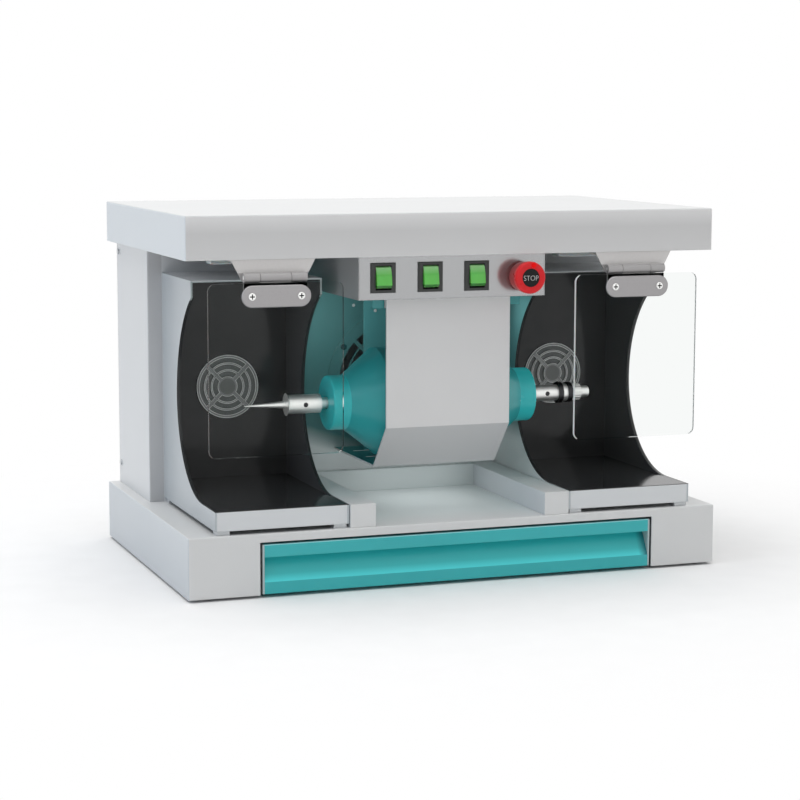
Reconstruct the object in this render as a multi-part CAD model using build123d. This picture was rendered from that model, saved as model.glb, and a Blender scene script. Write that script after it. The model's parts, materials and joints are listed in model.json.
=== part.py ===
from build123d import *
from math import cos, radians, sin
import os

# Laboratory polishing machine. A twin-ended motor stands between two suction hoods that are
# lined in black. A canopy over them carries the switches and the hinged clear shields, and the
# base under them holds a drawer. Sizes are in millimetres. +X is to the right of a person who
# faces the machine, +Y goes to its back and +Z goes up. The origin is on the table, under the
# middle of the machine.

os.makedirs("parts", exist_ok=True)

# Case
base_width = 606.0
base_depth = 376.0
base_height = 65.0
canopy_width = 600.0
canopy_depth = 368.0
canopy_height = 46.0
canopy_setback = 12.0
column_height = 285.0
cabinet_width = 580.0
cabinet_setback = 222.0
cabinet_depth = 148.0
sheet = 2.0
edge_round = 1.5
foot_height = 3.0
foot_radius = 12.0
foot_inset = 45.0

# Clearances
over = 1.0
seat_gap = 0.05
running_gap = 0.06
free_gap = 0.4

# Hoods
hood_width = 146.0
hood_centre = 200.0
hood_gap = 4.4
hood_lip_height = 20.6
hood_height = 258.0
hood_lip_setback = 4.5
hood_brow_setback = 96.0
hood_brow_height = 18.0
hood_pad = 14.0
mouth_reach = 160.5
mouth_height = 128.0
liner = 1.5

# Suction through each hood
grille_radius = 35.5
grille_flange = 1.5
grille_lap = 1.0
grille_sink = 1.0
grille_ring = 1.6
grille_rings = (0.31, 0.55, 0.78)
grille_spoke = 4.0
fan_size = 80.0
fan_depth = 25.0
fan_bore_radius = 38.0
fan_hub_radius = 15.0
fan_blade_tip = 36.5
fan_blade_chord = 18.0
fan_blade_sheet = 1.5
fan_blade_pitch = 40.0
fan_blades = 7
fan_back_plate = 4.0
fan_strut = 6.0
fan_pin_radius = 2.0

# Vent in the wall behind the motor, and its guard
vent_height = 127.0
vent_radius = 67.0
vent_guard_radius = 80.0
vent_guard_sheet = 1.5
vent_ring = 2.0
vent_rings = (0.34, 0.59, 0.84)
vent_spoke = 4.5
vent_screw_x = 61.0
vent_screw_z = 41.0

# Rear cover
rear_flange = 14.0
rear_clearance = 0.5
louvre_count = 9
louvre_pitch = 10.0
louvre_length = 92.0
louvre_height = 4.0
screw_radius = 1.6
screw_head_radius = 3.4
screw_head_height = 1.6
screw_inset = 12.0
inlet_height = 42.0
inlet_width = 27.4
inlet_tall = 20.0
inlet_flange = 4.0
inlet_flange_sheet = 2.5
inlet_depth = 24.0
inlet_wall = 2.0
inlet_pin = 2.0
inlet_pin_tall = 4.0
inlet_pin_pitch = 7.0
inlet_pin_short = 6.0

# Control box and its switches
control_width = 214.6
control_height = 47.0
control_setback = 30.5
control_pitch = 53.4
bezel_width = 28.0
bezel_tall = 32.2
bezel_proud = 2.0
switch_width = 24.6
switch_tall = 29.8
switch_depth = 22.0
switch_fit = 0.2
rocker_width = 16.8
rocker_face = 19.6
rocker_tall = 24.0
rocker_well_tall = 26.0
rocker_well_depth = 14.0
rocker_pivot_depth = 5.0
rocker_front = 8.0
rocker_crown = 0.8
rocker_slope = 3.5
rocker_back = 4.0
rocker_back_tall = 14.0
rocker_tilt = 12.0
rocker_pin_radius = 1.5
rocker_pin_reach = 1.6

# Stop button
estop_collar_radius = 12.0
estop_collar_height = 6.0
estop_barrel_radius = 11.0
estop_barrel_depth = 16.0
estop_block = 30.0
estop_block_depth = 26.0
estop_stem_radius = 6.0
estop_travel = 4.0
estop_spare = 1.0
estop_head_radius = 17.3
estop_shift = 1.2
estop_drop = 1.8
estop_head_depth = 16.3
estop_skirt_radius = 16.0
estop_skirt_wall = 1.6
estop_rim = 5.0
estop_face_round = 2.5
estop_label_radius = 10.0
estop_label_depth = 0.6
estop_mark_radius = 3.0
estop_mark_turn = 12.0
estop_mark_inset = 0.3
estop_mark_proud = 0.6

# Hinged shields
shield_shift = 5.5
shield_width = 146.0
shield_drop = 23.7
shield_tall = 180.6
shield_sheet = 3.0
shield_setback = 5.5
shield_corner = 8.0
hinge_setback = 10.0
hinge_drop = 18.3
hinge_width = 68.0
hinge_knuckle_radius = 4.9
hinge_end_knuckle = 17.0
hinge_pin_radius = 2.0
hinge_plate = 2.0
bracket_top_width = 91.0
bracket_foot = 3.5
bracket_depth = 34.0
clamp_width = 74.7
clamp_tall = 23.0
clamp_drop = 37.5
clamp_bevel = 0.8
leaf_lap = 4.5
clamp_screw_pitch = 53.0
clamp_screw_radius = 2.0
clamp_head_radius = 3.9
clamp_head_height = 1.2
clamp_cross_length = 5.2
clamp_cross_width = 1.2
clamp_cross_depth = 0.8

# Lamps under the canopy
lamp_length = 110.0
lamp_width = 18.0
lamp_height = 9.0
lamp_setback = 80.0

# Motor and its folded cover
spindle_setback = 106.5
spindle_height = 120.0
motor_radius = 59.0
motor_half = 59.5
motor_wall = 4.0
bell_rim = 4.0
bell_wall = 4.0
nose_start = 100.0
nose_end = 119.0
nose_radius = 30.0
nose_round = 2.0
nose_front = 4.0
bearing_radius = 17.5
bearing_width = 11.0
stator_half = 32.0
stator_bore = 29.6
rotor_radius = 29.0
winding_length = 20.0
winding_bore = 36.0
winding_gap = 1.0
cover_width = 143.0
cover_setback = 43.5
cover_bend_height = 97.5
cover_floor_height = 49.7
cover_floor_setback = 85.5
cover_bend = 2.0
cover_slot_rows = 3
cover_slot_pitch = 44.5
cover_slot_first = 99.0
cover_slot_width = 4.0
cover_slot_length = 24.0
cover_slot_margin = 11.5
cover_screw_inset = 10.0
cover_ear_width = 14.0
cover_ear_drop = 10.5
cover_ear_setback = 6.0
pedestal_half = 33.0
pedestal_margin = 7.0
pedestal_depth = 104.0
pedestal_foot = 8.0
pedestal_web_half = 26.0
pedestal_web_depth = 62.0
pedestal_back_half = 45.0
pedestal_back_sheet = 3.0
bolt_radius = 3.0
bolt_head_radius = 5.5
bolt_head_height = 4.0
bolt_inset = 8.0
bolt_setback = 27.0

# Motor capacitor, inside the cabinet
capacitor_radius = 20.0
capacitor_height = 72.0
capacitor_x = 60.0
capacitor_inset = 60.0
capacitor_tab = 6.0
capacitor_tab_sheet = 1.0

# Spindle
shaft_radius = 6.0
shaft_seat_radius = 7.5
shaft_core_radius = 9.0
shaft_core_half = 70.0
shaft_neck = 8.0
shaft_grip = 20.0
shaft_hole_gap = 1.0
left_sleeve_radius = 10.4
left_sleeve_length = 36.8
left_flange_radius = 12.4
left_flange_length = 1.4
taper_length = 47.0
taper_radius = 4.2
taper_tip_radius = 0.6
right_sleeve_radius = 9.0
right_sleeve_length = 28.7
arbor_seat_radius = 7.0
arbor_radius = 6.5
arbor_end = 10.8
arbor_chamfer = 1.0
inner_washer_radius = 12.0
inner_washer_length = 4.8
spacer_radius = 10.0
spacer_length = 6.4
outer_washer_radius = 11.5
outer_washer_length = 5.4
nut_radius = 9.2
nut_length = 11.0
nut_notch = 1.6
nut_notches = 12
set_screw_radius = 2.6
set_screw_sink = 0.8

# Tray between the hoods
rail_gap = 1.0
rail_width = 28.5
rail_height = 25.0
rail_setback = 2.5
rear_rail_depth = 10.0

# Drawer
drawer_width = 446.8
drawer_tall = 52.5
drawer_lift = 1.0
drawer_gap = 2.6
drawer_front_depth = 18.0
drawer_top_band = 13.5
drawer_low_band = 12.5
drawer_pull_depth = 14.0
drawer_pull_step = 2.0
drawer_cap = 2.0
drawer_box_width = 424.0
drawer_box_length = 310.0
drawer_box_tall = 36.0
drawer_box_lift = 5.0
drawer_sheet = 1.5
drawer_flange = 6.0
guide_clear = 0.5
guide_start = 24.0

# Levels and faces that several pieces share
front = -(canopy_setback + canopy_depth) / 2
deck = foot_height + base_height
canopy_z = deck + column_height
canopy_top = canopy_z + canopy_height
canopy_front = front + canopy_setback
cabinet_front = front + cabinet_setback
cabinet_back = cabinet_front + cabinet_depth
wall_back = cabinet_front + sheet
hood_bottom = deck + hood_gap
hood_floor = hood_bottom + hood_lip_height
hood_top = deck + hood_height
hood_lip = front + hood_lip_setback
hood_x = (hood_centre - hood_width / 2, hood_centre + hood_width / 2)
mouth_z = deck + mouth_height
grille_hole = grille_radius - grille_lap
spindle_y = front + spindle_setback
spindle_z = deck + spindle_height
control_y = front + control_setback
control_bottom = canopy_z - control_height
control_mid = canopy_z - control_height / 2
estop_x = 1.5 * control_pitch - estop_shift
estop_z = control_mid - estop_drop
estop_gap = estop_travel + estop_spare
shield_centre = hood_centre + shield_shift
hinge_y = front + hinge_setback
hinge_z = canopy_z - hinge_drop
clamp_z = canopy_z - clamp_drop
shield_y = (front + shield_setback, front + shield_setback + shield_sheet)
cover_floor = deck + cover_floor_height
drawer_bottom = foot_height + drawer_lift
drawer_top = drawer_bottom + drawer_tall
floor_top = foot_height + sheet
vent_z = deck + vent_height


def block(x, y, z):
    """Box between the (low, high) spans x, y and z."""
    spans = (x, y, z)
    size = [high - low for low, high in spans]
    middle = [(high + low) / 2 for low, high in spans]
    return Pos(*middle) * Box(*size)


def rod_x(x, y, z, radius):
    """Round bar along X over the span x."""
    return Pos((x[0] + x[1]) / 2, y, z) * Rot(0, 90, 0) * Cylinder(radius, x[1] - x[0])


def rod_y(x, y, z, radius):
    """Round bar along Y over the span y."""
    return Pos(x, (y[0] + y[1]) / 2, z) * Rot(90, 0, 0) * Cylinder(radius, y[1] - y[0])


def rod_z(x, y, z, radius):
    """Round bar along Z over the span z."""
    return Pos(x, y, (z[0] + z[1]) / 2) * Cylinder(radius, z[1] - z[0])


def soften(face, corners, radius):
    """Flat outline with the named corners rounded."""
    picked = [face.vertices().sort_by_distance(Vector(*corner))[0] for corner in corners]
    return fillet(picked, radius)


def turned(points, corners=(), radius=0.0):
    """Solid turned about the spindle axis from (x, radius) points."""
    outline = make_face(Polyline(*points, close=True))
    if corners:
        outline = soften(outline, corners, radius)
    return Pos(0, spindle_y, spindle_z) * revolve(outline, Axis.X)


def tube(x, inner, outer):
    """Ring about the spindle axis over the span x."""
    return turned([(x[0], inner), (x[1], inner), (x[1], outer), (x[0], outer)])


def other_side(piece):
    """The same piece on the left side of the machine."""
    return mirror(piece, about=Plane.YZ)


def save(node, *pieces):
    """Write the solids of one node to its own file."""
    solids = [solid for piece in pieces for solid in piece.solids()]
    shape = solids[0] if len(solids) == 1 else Compound(children=solids)
    export_step(shape, f"parts/{node}.step")


def ring_slots(centre, y, radius, rings, ring, spoke):
    """Round slots between concentric rings, crossed by four diagonal spokes."""
    x, z = centre
    edges = [share * radius for share in rings] + [radius]
    slots = Part()
    for inner, outer in zip(edges, edges[1:]):
        slots += rod_y(x, y, z, outer - ring / 2) - rod_y(x, y, z, inner + ring / 2)
    for turn in (45, -45):
        arm = Pos(x, (y[0] + y[1]) / 2, z) * Rot(0, turn, 0)
        slots -= arm * Box(2 * radius, y[1] - y[0] + over, spoke)
    return slots


# Base and drawer

def base_shell():
    half = base_width / 2
    outer = block((-half, half), (front, front + base_depth), (foot_height, deck))
    top_edges = outer.edges().group_by(Axis.Z)[-1]
    outer = fillet(outer.edges().filter_by(Axis.Z) + top_edges, edge_round)
    inside = (foot_height - over, deck - sheet)
    room = block((sheet - half, half - sheet), (front + sheet, front + base_depth - sheet), inside)
    mouth_half = drawer_width / 2 + drawer_gap
    mouth = (foot_height - over, drawer_top + drawer_gap)
    return outer - room - block((-mouth_half, mouth_half), (front - over, front + sheet + over), mouth)


def base_floor_plate():
    """Closes the base from below, cut back at the front for the drawer."""
    half = base_width / 2 - sheet
    y = (front + sheet, front + base_depth - sheet)
    plate = block((-half, half), y, (foot_height, floor_top))
    mouth_half = drawer_width / 2 + drawer_gap
    through = (foot_height - over, floor_top + over)
    return plate - block((-mouth_half, mouth_half), (front, front + guide_start), through)


def rubber_feet():
    x = base_width / 2 - foot_inset
    rows = (front + foot_inset, front + base_depth - foot_inset)
    return [rod_z(side * x, y, (0, foot_height), foot_radius) for side in (-1, 1) for y in rows]


def drawer_pull_points():
    """Finger pull in the drawer front, as (y, z) points: deep at its top, sloping out below."""
    low = drawer_bottom + drawer_low_band
    high = drawer_top - drawer_top_band
    deep = front + drawer_pull_depth
    slope = [(front - over, low), (front, low), (deep, high - drawer_pull_step)]
    return slope + [(deep, high), (front - over, high)]


def drawer_front():
    half = drawer_width / 2 - drawer_cap
    slab = block((-half, half), (front, front + drawer_front_depth), (drawer_bottom, drawer_top))
    pull = make_face(Polyline(*drawer_pull_points(), close=True))
    return slab - extrude(Plane.YZ.offset(-half - over) * pull, 2 * (half + over))


def drawer_end_caps():
    half = drawer_width / 2
    y = (front, front + drawer_front_depth)
    cap = block((half - drawer_cap, half), y, (drawer_bottom, drawer_top))
    return [cap, other_side(cap)]


def drawer_flange_z():
    """Span of the drawer's side flanges, which run in the guides."""
    top = floor_top + drawer_box_lift + drawer_box_tall
    return (top - drawer_sheet, top)


def drawer_box():
    """Open tray: a pan folded up at front and back, and two sides whose flanges run in the guides."""
    half = drawer_box_width / 2
    inner_half = half - drawer_sheet
    start = front + drawer_front_depth
    y = (start, start + drawer_box_length)
    low = floor_top + drawer_box_lift
    z = (low, low + drawer_box_tall)
    pan = block((-inner_half, inner_half), y, z)
    inner_y = (y[0] + drawer_sheet, y[1] - drawer_sheet)
    pan -= block((-inner_half, inner_half), inner_y, (low + drawer_sheet, z[1] + over))
    side = block((inner_half, half), y, z)
    flange_y = (front + guide_start + free_gap, y[1])
    side += block((half, half + drawer_flange), flange_y, drawer_flange_z())
    return [pan, side, other_side(side)]


def drawer_guides():
    """Fixed guides: a channel stands on the floor plate and wraps each drawer flange."""
    half = drawer_box_width / 2
    low, high = drawer_flange_z()
    y = (front + guide_start, front + base_depth - sheet)
    inside = (half + guide_clear, half + drawer_flange + guide_clear)
    outer = inside[1] + sheet
    guide = block((inside[0], outer), y, (low - guide_clear - sheet, high + guide_clear + sheet))
    hollow_x = (inside[0] - over, inside[1])
    hollow_y = (y[0] - over, y[1] - sheet)
    guide -= block(hollow_x, hollow_y, (low - guide_clear, high + guide_clear))
    guide += block((inside[1], outer), y, (floor_top, high))
    return [guide, other_side(guide)]


# Cabinet, canopy and rear cover

def suction_hole(y):
    return rod_y(hood_centre, y, mouth_z, grille_hole)


def side_screw_places():
    """Heights of the screws that hold the rear cover, and their distance from the back."""
    return (deck + 2 * screw_inset, canopy_z - screw_inset), cabinet_back - rear_flange / 2


def vent_screw_places():
    """Centres of the four screws round the vent."""
    return [(x, vent_z + z) for x in (-vent_screw_x, vent_screw_x) for z in (-vent_screw_z, vent_screw_z)]


def cabinet_shell():
    half = cabinet_width / 2
    z = (deck, canopy_z)
    outer = block((-half, half), (cabinet_front, cabinet_back), z)
    outer = fillet(outer.edges().filter_by(Axis.Z).group_by(Axis.Y)[0], edge_round)
    room = block((sheet - half, half - sheet), (wall_back, cabinet_back + over), (z[0] - over, z[1] + over))
    shell = outer - room
    through = (cabinet_front - over, wall_back + over)
    hole = suction_hole(through)
    shell -= hole
    shell -= other_side(hole)
    shell -= rod_y(0, through, vent_z, vent_radius)
    for x, height in vent_screw_places():
        shell -= rod_y(x, through, height, screw_radius)
    heights, y = side_screw_places()
    for height in heights:
        shell -= rod_x((-half - over, half + over), y, height, screw_radius)
    return shell


def vent_guard():
    """Slotted disc screwed over the vent, cut flat above the motor cover's floor."""
    y = (cabinet_front - vent_guard_sheet, cabinet_front)
    through = (y[0] - over, y[1] + over)
    x = (-vent_guard_radius, vent_guard_radius)
    z = (cover_floor + sheet + free_gap, vent_z + vent_guard_radius)
    guard = rod_y(0, y, vent_z, vent_guard_radius) & block(x, y, z)
    guard -= ring_slots((0, vent_z), through, vent_radius, vent_rings, vent_ring, vent_spoke)
    for place, height in vent_screw_places():
        guard -= rod_y(place, through, height, screw_radius)
    return guard


def rear_cover():
    half = cabinet_width / 2
    z = (deck, canopy_z - rear_clearance)
    plate = block((-half, half), (cabinet_back, cabinet_back + sheet), z)
    outside = half - sheet - free_gap
    flange_y = (cabinet_back - rear_flange, cabinet_back)
    flange_z = (deck + screw_inset / 2, canopy_z - screw_inset / 2)
    flange = block((outside - sheet, outside), flange_y, flange_z)
    cover = plate + flange + other_side(flange)
    heights, y = side_screw_places()
    for height in heights:
        cover -= rod_x((-half, half), y, height, screw_radius)
    through = (cabinet_back - over, cabinet_back + sheet + over)
    for row in range(louvre_count):
        level = mouth_z + (row - (louvre_count - 1) / 2) * louvre_pitch
        band = (level - louvre_height / 2, level + louvre_height / 2)
        slot = block((hood_centre - louvre_length / 2, hood_centre + louvre_length / 2), through, band)
        cover -= slot
        cover -= other_side(slot)
    inlet_z = deck + inlet_height
    opening = inlet_width / 2 + switch_fit
    tall = inlet_tall / 2 + switch_fit
    return cover - block((-opening, opening), through, (inlet_z - tall, inlet_z + tall))


def pan_screw_x(x, y, z, length):
    """Pan-head screw from the right: the head's seat is at x and the shank goes to -X."""
    head = rod_x((x, x + screw_head_height), y, z, screw_head_radius)
    return head + rod_x((x - length, x), y, z, screw_radius - seat_gap)


def pan_screw_y(x, y, z, length):
    """Pan-head screw from the front: the head's seat is at y and the shank goes back."""
    head = rod_y(x, (y - screw_head_height, y), z, screw_head_radius)
    return head + rod_y(x, (y, y + length), z, screw_radius - seat_gap)


def pan_screw_up(x, y, z, length):
    """Pan-head screw from below: the head's seat is at z and the shank goes up."""
    head = rod_z(x, y, (z - screw_head_height, z), screw_head_radius)
    return head + rod_z(x, y, (z, z + length), screw_radius - seat_gap)


def panel_screws():
    heights, y = side_screw_places()
    length = 2 * sheet + free_gap
    screws = [pan_screw_x(cabinet_width / 2, y, z, length) for z in heights]
    screws += [other_side(screw) for screw in screws]
    for x in cover_screw_x():
        screws.append(pan_screw_up(x, cover_screw_y(), cover_flange_z(), 2 * sheet))
    for x, z in vent_screw_places():
        screws.append(pan_screw_y(x, cabinet_front - vent_guard_sheet, z, 2 * sheet))
    return screws


def power_inlet():
    z = deck + inlet_height
    half = inlet_width / 2
    tall = inlet_tall / 2
    outside = cabinet_back + sheet
    mouth = outside + inlet_flange_sheet
    back = outside - inlet_depth
    body = block((-half, half), (back, outside), (z - tall, z + tall))
    rim_x = (-half - inlet_flange, half + inlet_flange)
    rim_z = (z - tall - inlet_flange, z + tall + inlet_flange)
    body += block(rim_x, (outside, mouth), rim_z)
    well_x = (inlet_wall - half, half - inlet_wall)
    well_z = (z - tall + inlet_wall, z + tall - inlet_wall)
    body -= block(well_x, (back + inlet_wall, mouth + over), well_z)
    pin_y = (back, mouth - inlet_pin_short)
    pin_z = (z - inlet_pin_tall / 2, z + inlet_pin_tall / 2)
    for column in (-1, 0, 1):
        x = column * inlet_pin_pitch
        body += block((x - inlet_pin / 2, x + inlet_pin / 2), pin_y, pin_z)
    return body


def canopy_shell():
    half = canopy_width / 2
    back = canopy_front + canopy_depth
    outer = block((-half, half), (canopy_front, back), (canopy_z, canopy_top))
    top_edges = outer.edges().group_by(Axis.Z)[-1]
    outer = fillet(outer.edges().filter_by(Axis.Z) + top_edges, edge_round)
    inside = (canopy_front + sheet, back - sheet)
    return outer - block((sheet - half, half - sheet), inside, (canopy_z - over, canopy_top - sheet))


def canopy_base_plate():
    half = canopy_width / 2 - sheet
    y = (canopy_front + sheet, canopy_front + canopy_depth - sheet)
    return block((-half, half), y, (canopy_z, canopy_z + sheet))


def work_lamps():
    y = (front + lamp_setback, front + lamp_setback + lamp_width)
    x = (hood_centre - lamp_length / 2, hood_centre + lamp_length / 2)
    lamp = block(x, y, (canopy_z - lamp_height, canopy_z))
    lamp = fillet(lamp.edges().group_by(Axis.Z)[0], edge_round)
    return [lamp, other_side(lamp)]


# Hoods and suction

def hood_outline():
    """Side view of a hood as a (y, z) outline: lip, C-shaped mouth, brow, top and back."""
    radius = mouth_z - hood_floor
    deepest = (front + mouth_reach, mouth_z)
    sill = (deepest[0] - radius, hood_floor)
    brow = (front + hood_brow_setback, hood_top - hood_brow_height)
    lower = CenterArc((sill[0], mouth_z), radius, 270, 90)
    upper = TangentArc(deepest, brow, tangent=(0, 1))
    back = [(cabinet_front, hood_top), (cabinet_front, hood_bottom)]
    lip = [(hood_lip, hood_bottom), (hood_lip, hood_floor)]
    rest = Polyline(brow, (brow[0], hood_top), *back, *lip, sill)
    return make_face(lower.edges() + upper.edges() + rest.edges())


def hood_slice(x):
    """The hood's side view, filled, over the span x."""
    return extrude(Plane.YZ.offset(x[0]) * hood_outline(), x[1] - x[0])


def between_cheeks():
    return (hood_x[0] + sheet, hood_x[1] - sheet)


def hood_room():
    """Space inside a hood's sheet, before it is lined."""
    y = (hood_lip + sheet, cabinet_front - sheet)
    return block(between_cheeks(), y, (hood_floor - liner, hood_top - sheet))


def hood_cheeks():
    """C-shaped side plates of the right hood."""
    inner, outer = between_cheeks()
    return [hood_slice((hood_x[0], inner)), hood_slice((outer, hood_x[1]))]


def hood_wrap():
    """Sheet folded between the cheeks: lip, floor, back and top, on four small feet."""
    x = between_cheeks()
    wrap = hood_slice(x) - hood_room()
    under_y = (hood_lip + sheet, cabinet_front - sheet)
    wrap -= block(x, under_y, (hood_bottom - over, hood_floor - liner - sheet))
    wrap -= suction_hole((cabinet_front - sheet - over, cabinet_front + over))
    for y in ((under_y[0], under_y[0] + hood_pad), (cabinet_front - hood_pad, cabinet_front)):
        for foot_x in ((x[0], x[0] + hood_pad), (x[1] - hood_pad, x[1])):
            wrap += block(foot_x, y, (deck, hood_bottom + sheet))
    return wrap


def hood_liner():
    back = cabinet_front - sheet - liner
    x = between_cheeks()
    inside = (x[0] + liner, x[1] - liner)
    skin = hood_slice(x) & hood_room()
    skin -= block(inside, (front, back), (hood_floor, hood_top))
    return skin - suction_hole((back - over, cabinet_front))


def suction_grille():
    face = cabinet_front - sheet - liner
    flange = (face - grille_flange, face)
    spigot = (face, cabinet_front)
    grille = rod_y(hood_centre, flange, mouth_z, grille_radius)
    grille += rod_y(hood_centre, spigot, mouth_z, grille_hole - seat_gap)
    behind = (face + grille_sink, cabinet_front + over)
    grille -= rod_y(hood_centre, behind, mouth_z, grille_hole - grille_ring)
    centre = (hood_centre, mouth_z)
    through = (flange[0] - over, cabinet_front + over)
    reach = grille_hole - grille_ring / 2
    return grille - ring_slots(centre, through, reach, grille_rings, grille_ring, grille_spoke)


def fan_frame():
    half = fan_size / 2
    y = (wall_back, wall_back + fan_depth)
    frame = block((hood_centre - half, hood_centre + half), y, (mouth_z - half, mouth_z + half))
    frame = fillet(frame.edges().filter_by(Axis.Y), edge_round)
    frame -= rod_y(hood_centre, (y[0] - over, y[1] + over), mouth_z, fan_bore_radius)
    back = (y[1] - fan_back_plate, y[1])
    reach = fan_bore_radius + over
    strut = fan_strut / 2
    frame += block((hood_centre - reach, hood_centre + reach), back, (mouth_z - strut, mouth_z + strut))
    frame += block((hood_centre - strut, hood_centre + strut), back, (mouth_z - reach, mouth_z + reach))
    frame += rod_y(hood_centre, back, mouth_z, fan_hub_radius)
    through = (back[0] - over, back[1] + over)
    return frame - rod_y(hood_centre, through, mouth_z, fan_pin_radius + running_gap)


def fan_impeller():
    y = (wall_back + sheet, wall_back + fan_depth - fan_back_plate - free_gap)
    hub = rod_y(hood_centre, y, mouth_z, fan_hub_radius)
    hub = fillet(hub.edges().group_by(Axis.Y)[0], edge_round)
    rotor = hub + rod_y(hood_centre, (y[1], wall_back + fan_depth), mouth_z, fan_pin_radius)
    middle = Pos(hood_centre, (y[0] + y[1]) / 2, mouth_z)
    span = fan_blade_tip - fan_hub_radius + over
    for blade in range(fan_blades):
        place = Rot(0, blade * 360 / fan_blades, 0) * Pos(0, 0, fan_blade_tip - span / 2)
        rotor += middle * place * Rot(0, 0, fan_blade_pitch) * Box(fan_blade_sheet, fan_blade_chord, span)
    return rotor


def dust_filters():
    """Fleece pads pressed into the grilles from behind."""
    y = (cabinet_front - sheet - liner + grille_sink, cabinet_front)
    pad = rod_y(hood_centre, y, mouth_z, grille_hole - grille_ring - seat_gap)
    return [pad, other_side(pad)]


# Control box, switches and stop button

def switch_places():
    return [(column - 1.5) * control_pitch for column in range(3)]


def control_box():
    half = control_width / 2
    outer = block((-half, half), (control_y, cabinet_front), (control_bottom, canopy_z))
    outer = fillet(outer.edges().filter_by(Axis.Z).group_by(Axis.Y)[0], edge_round)
    inside = (control_bottom + sheet, canopy_z + over)
    box = outer - block((sheet - half, half - sheet), (control_y + sheet, cabinet_front + over), inside)
    through = (control_y - over, control_y + sheet + over)
    wide = switch_width / 2 + switch_fit
    tall = switch_tall / 2 + switch_fit
    for x in switch_places():
        box -= block((x - wide, x + wide), through, (control_mid - tall, control_mid + tall))
    box -= rod_y(estop_x, through, estop_z, estop_barrel_radius + switch_fit)
    floor = (control_bottom - over, control_bottom + sheet + over)
    for x in cover_screw_x():
        box -= rod_z(x, cover_screw_y(), floor, screw_radius)
    return box


def rocker_pivot_y():
    return control_y - bezel_proud + rocker_pivot_depth


def switch_frame(x):
    face = control_y - bezel_proud
    rim_x = (x - bezel_width / 2, x + bezel_width / 2)
    rim_z = (control_mid - bezel_tall / 2, control_mid + bezel_tall / 2)
    rim = block(rim_x, (face, control_y), rim_z)
    rim = chamfer(rim.edges().group_by(Axis.Y)[0], bezel_proud / 3)
    body_x = (x - switch_width / 2, x + switch_width / 2)
    body_z = (control_mid - switch_tall / 2, control_mid + switch_tall / 2)
    frame = rim + block(body_x, (control_y, control_y + switch_depth), body_z)
    wide = rocker_width / 2 + free_gap
    tall = rocker_well_tall / 2
    well = (face - over, face + rocker_well_depth)
    frame -= block((x - wide, x + wide), well, (control_mid - tall, control_mid + tall))
    pin = rocker_width / 2 + rocker_pin_reach + free_gap
    hole = rocker_pin_radius + running_gap
    return frame - rod_x((x - pin, x + pin), rocker_pivot_y(), control_mid, hole)


def rocker(x):
    """Rocker at rest, with its top pressed in. It turns on two small pins."""
    edge = rocker_crown - rocker_front
    shoulder = (edge + rocker_slope, rocker_tall / 2)
    upper = [(rocker_back, rocker_back_tall / 2), shoulder, (edge, rocker_face / 2)]
    lower = [(y, -z) for y, z in reversed(upper)]
    outline = make_face(Polyline(*upper, (-rocker_front, 0), *lower, close=True))
    body = extrude(Plane.YZ.offset(-rocker_width / 2) * outline, rocker_width)
    pin = rocker_width / 2 + rocker_pin_reach
    body += rod_x((-pin, pin), 0, 0, rocker_pin_radius)
    return Pos(x, rocker_pivot_y(), control_mid) * Rot(-rocker_tilt, 0, 0) * body


def estop_body():
    """Collar with its barrel, and the contact block clipped on behind."""
    collar = (control_y - estop_collar_height, control_y)
    barrel = (control_y, control_y + estop_barrel_depth)
    actuator = rod_y(estop_x, collar, estop_z, estop_collar_radius)
    actuator = chamfer(actuator.edges().group_by(Axis.Y)[0], edge_round)
    actuator += rod_y(estop_x, barrel, estop_z, estop_barrel_radius)
    half = estop_block / 2
    back = (barrel[1], barrel[1] + estop_block_depth)
    contacts = block((estop_x - half, estop_x + half), back, (estop_z - half, estop_z + half))
    well = rod_y(estop_x, (collar[0] - over, back[1] - sheet), estop_z, estop_stem_radius + running_gap)
    return [actuator - well, contacts - well]


def estop_head_y():
    """Front of the stop button's head, back of its core and end of its skirt."""
    core = control_y - estop_collar_height - estop_gap
    return (core - estop_head_depth, core, control_y - estop_gap)


def estop_plunger():
    head = estop_head_y()
    y = (head[0] + estop_rim, control_y + estop_barrel_depth + estop_block_depth - sheet - estop_gap)
    return rod_y(estop_x, y, estop_z, estop_stem_radius)


def estop_head():
    """Mushroom cap with a label seat and an index mark, and the skirt behind it, which goes over the collar."""
    y = estop_head_y()
    face = [(0, y[0]), (estop_head_radius, y[0]), (estop_head_radius, y[0] + estop_rim)]
    room = estop_skirt_radius - estop_skirt_wall
    skirt = [(estop_skirt_radius, y[2]), (room, y[2]), (room, y[1]), (0, y[1])]
    outline = soften(make_face(Polyline(*face, *skirt, close=True)), [face[1]], estop_face_round)
    head = Pos(estop_x, 0, estop_z) * revolve(outline, Axis.Y)
    head -= rod_y(estop_x, (y[0] - over, y[0] + estop_label_depth), estop_z, estop_label_radius)
    turn = radians(estop_mark_turn)
    reach = estop_head_radius - estop_mark_radius - estop_mark_inset
    mark_y = (y[0] - estop_mark_proud, y[0] + estop_face_round)
    head += rod_y(estop_x + reach * sin(turn), mark_y, estop_z + reach * cos(turn), estop_mark_radius)
    bore = (y[0] + estop_rim - free_gap, y[1] + over)
    head -= rod_y(estop_x, bore, estop_z, estop_stem_radius + running_gap)
    cap_y = (mark_y[0] - over, y[1])
    cap_space = rod_y(estop_x, cap_y, estop_z, estop_head_radius + over)
    return [head & cap_space, head - cap_space]


# Motor, cover and pedestal

def cover_screw_y():
    return front + cover_setback + cover_screw_inset


def cover_screw_x():
    x = cover_width / 2 - cover_screw_inset
    return (-x, x)


def cover_flange_z():
    return control_bottom - sheet


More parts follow.
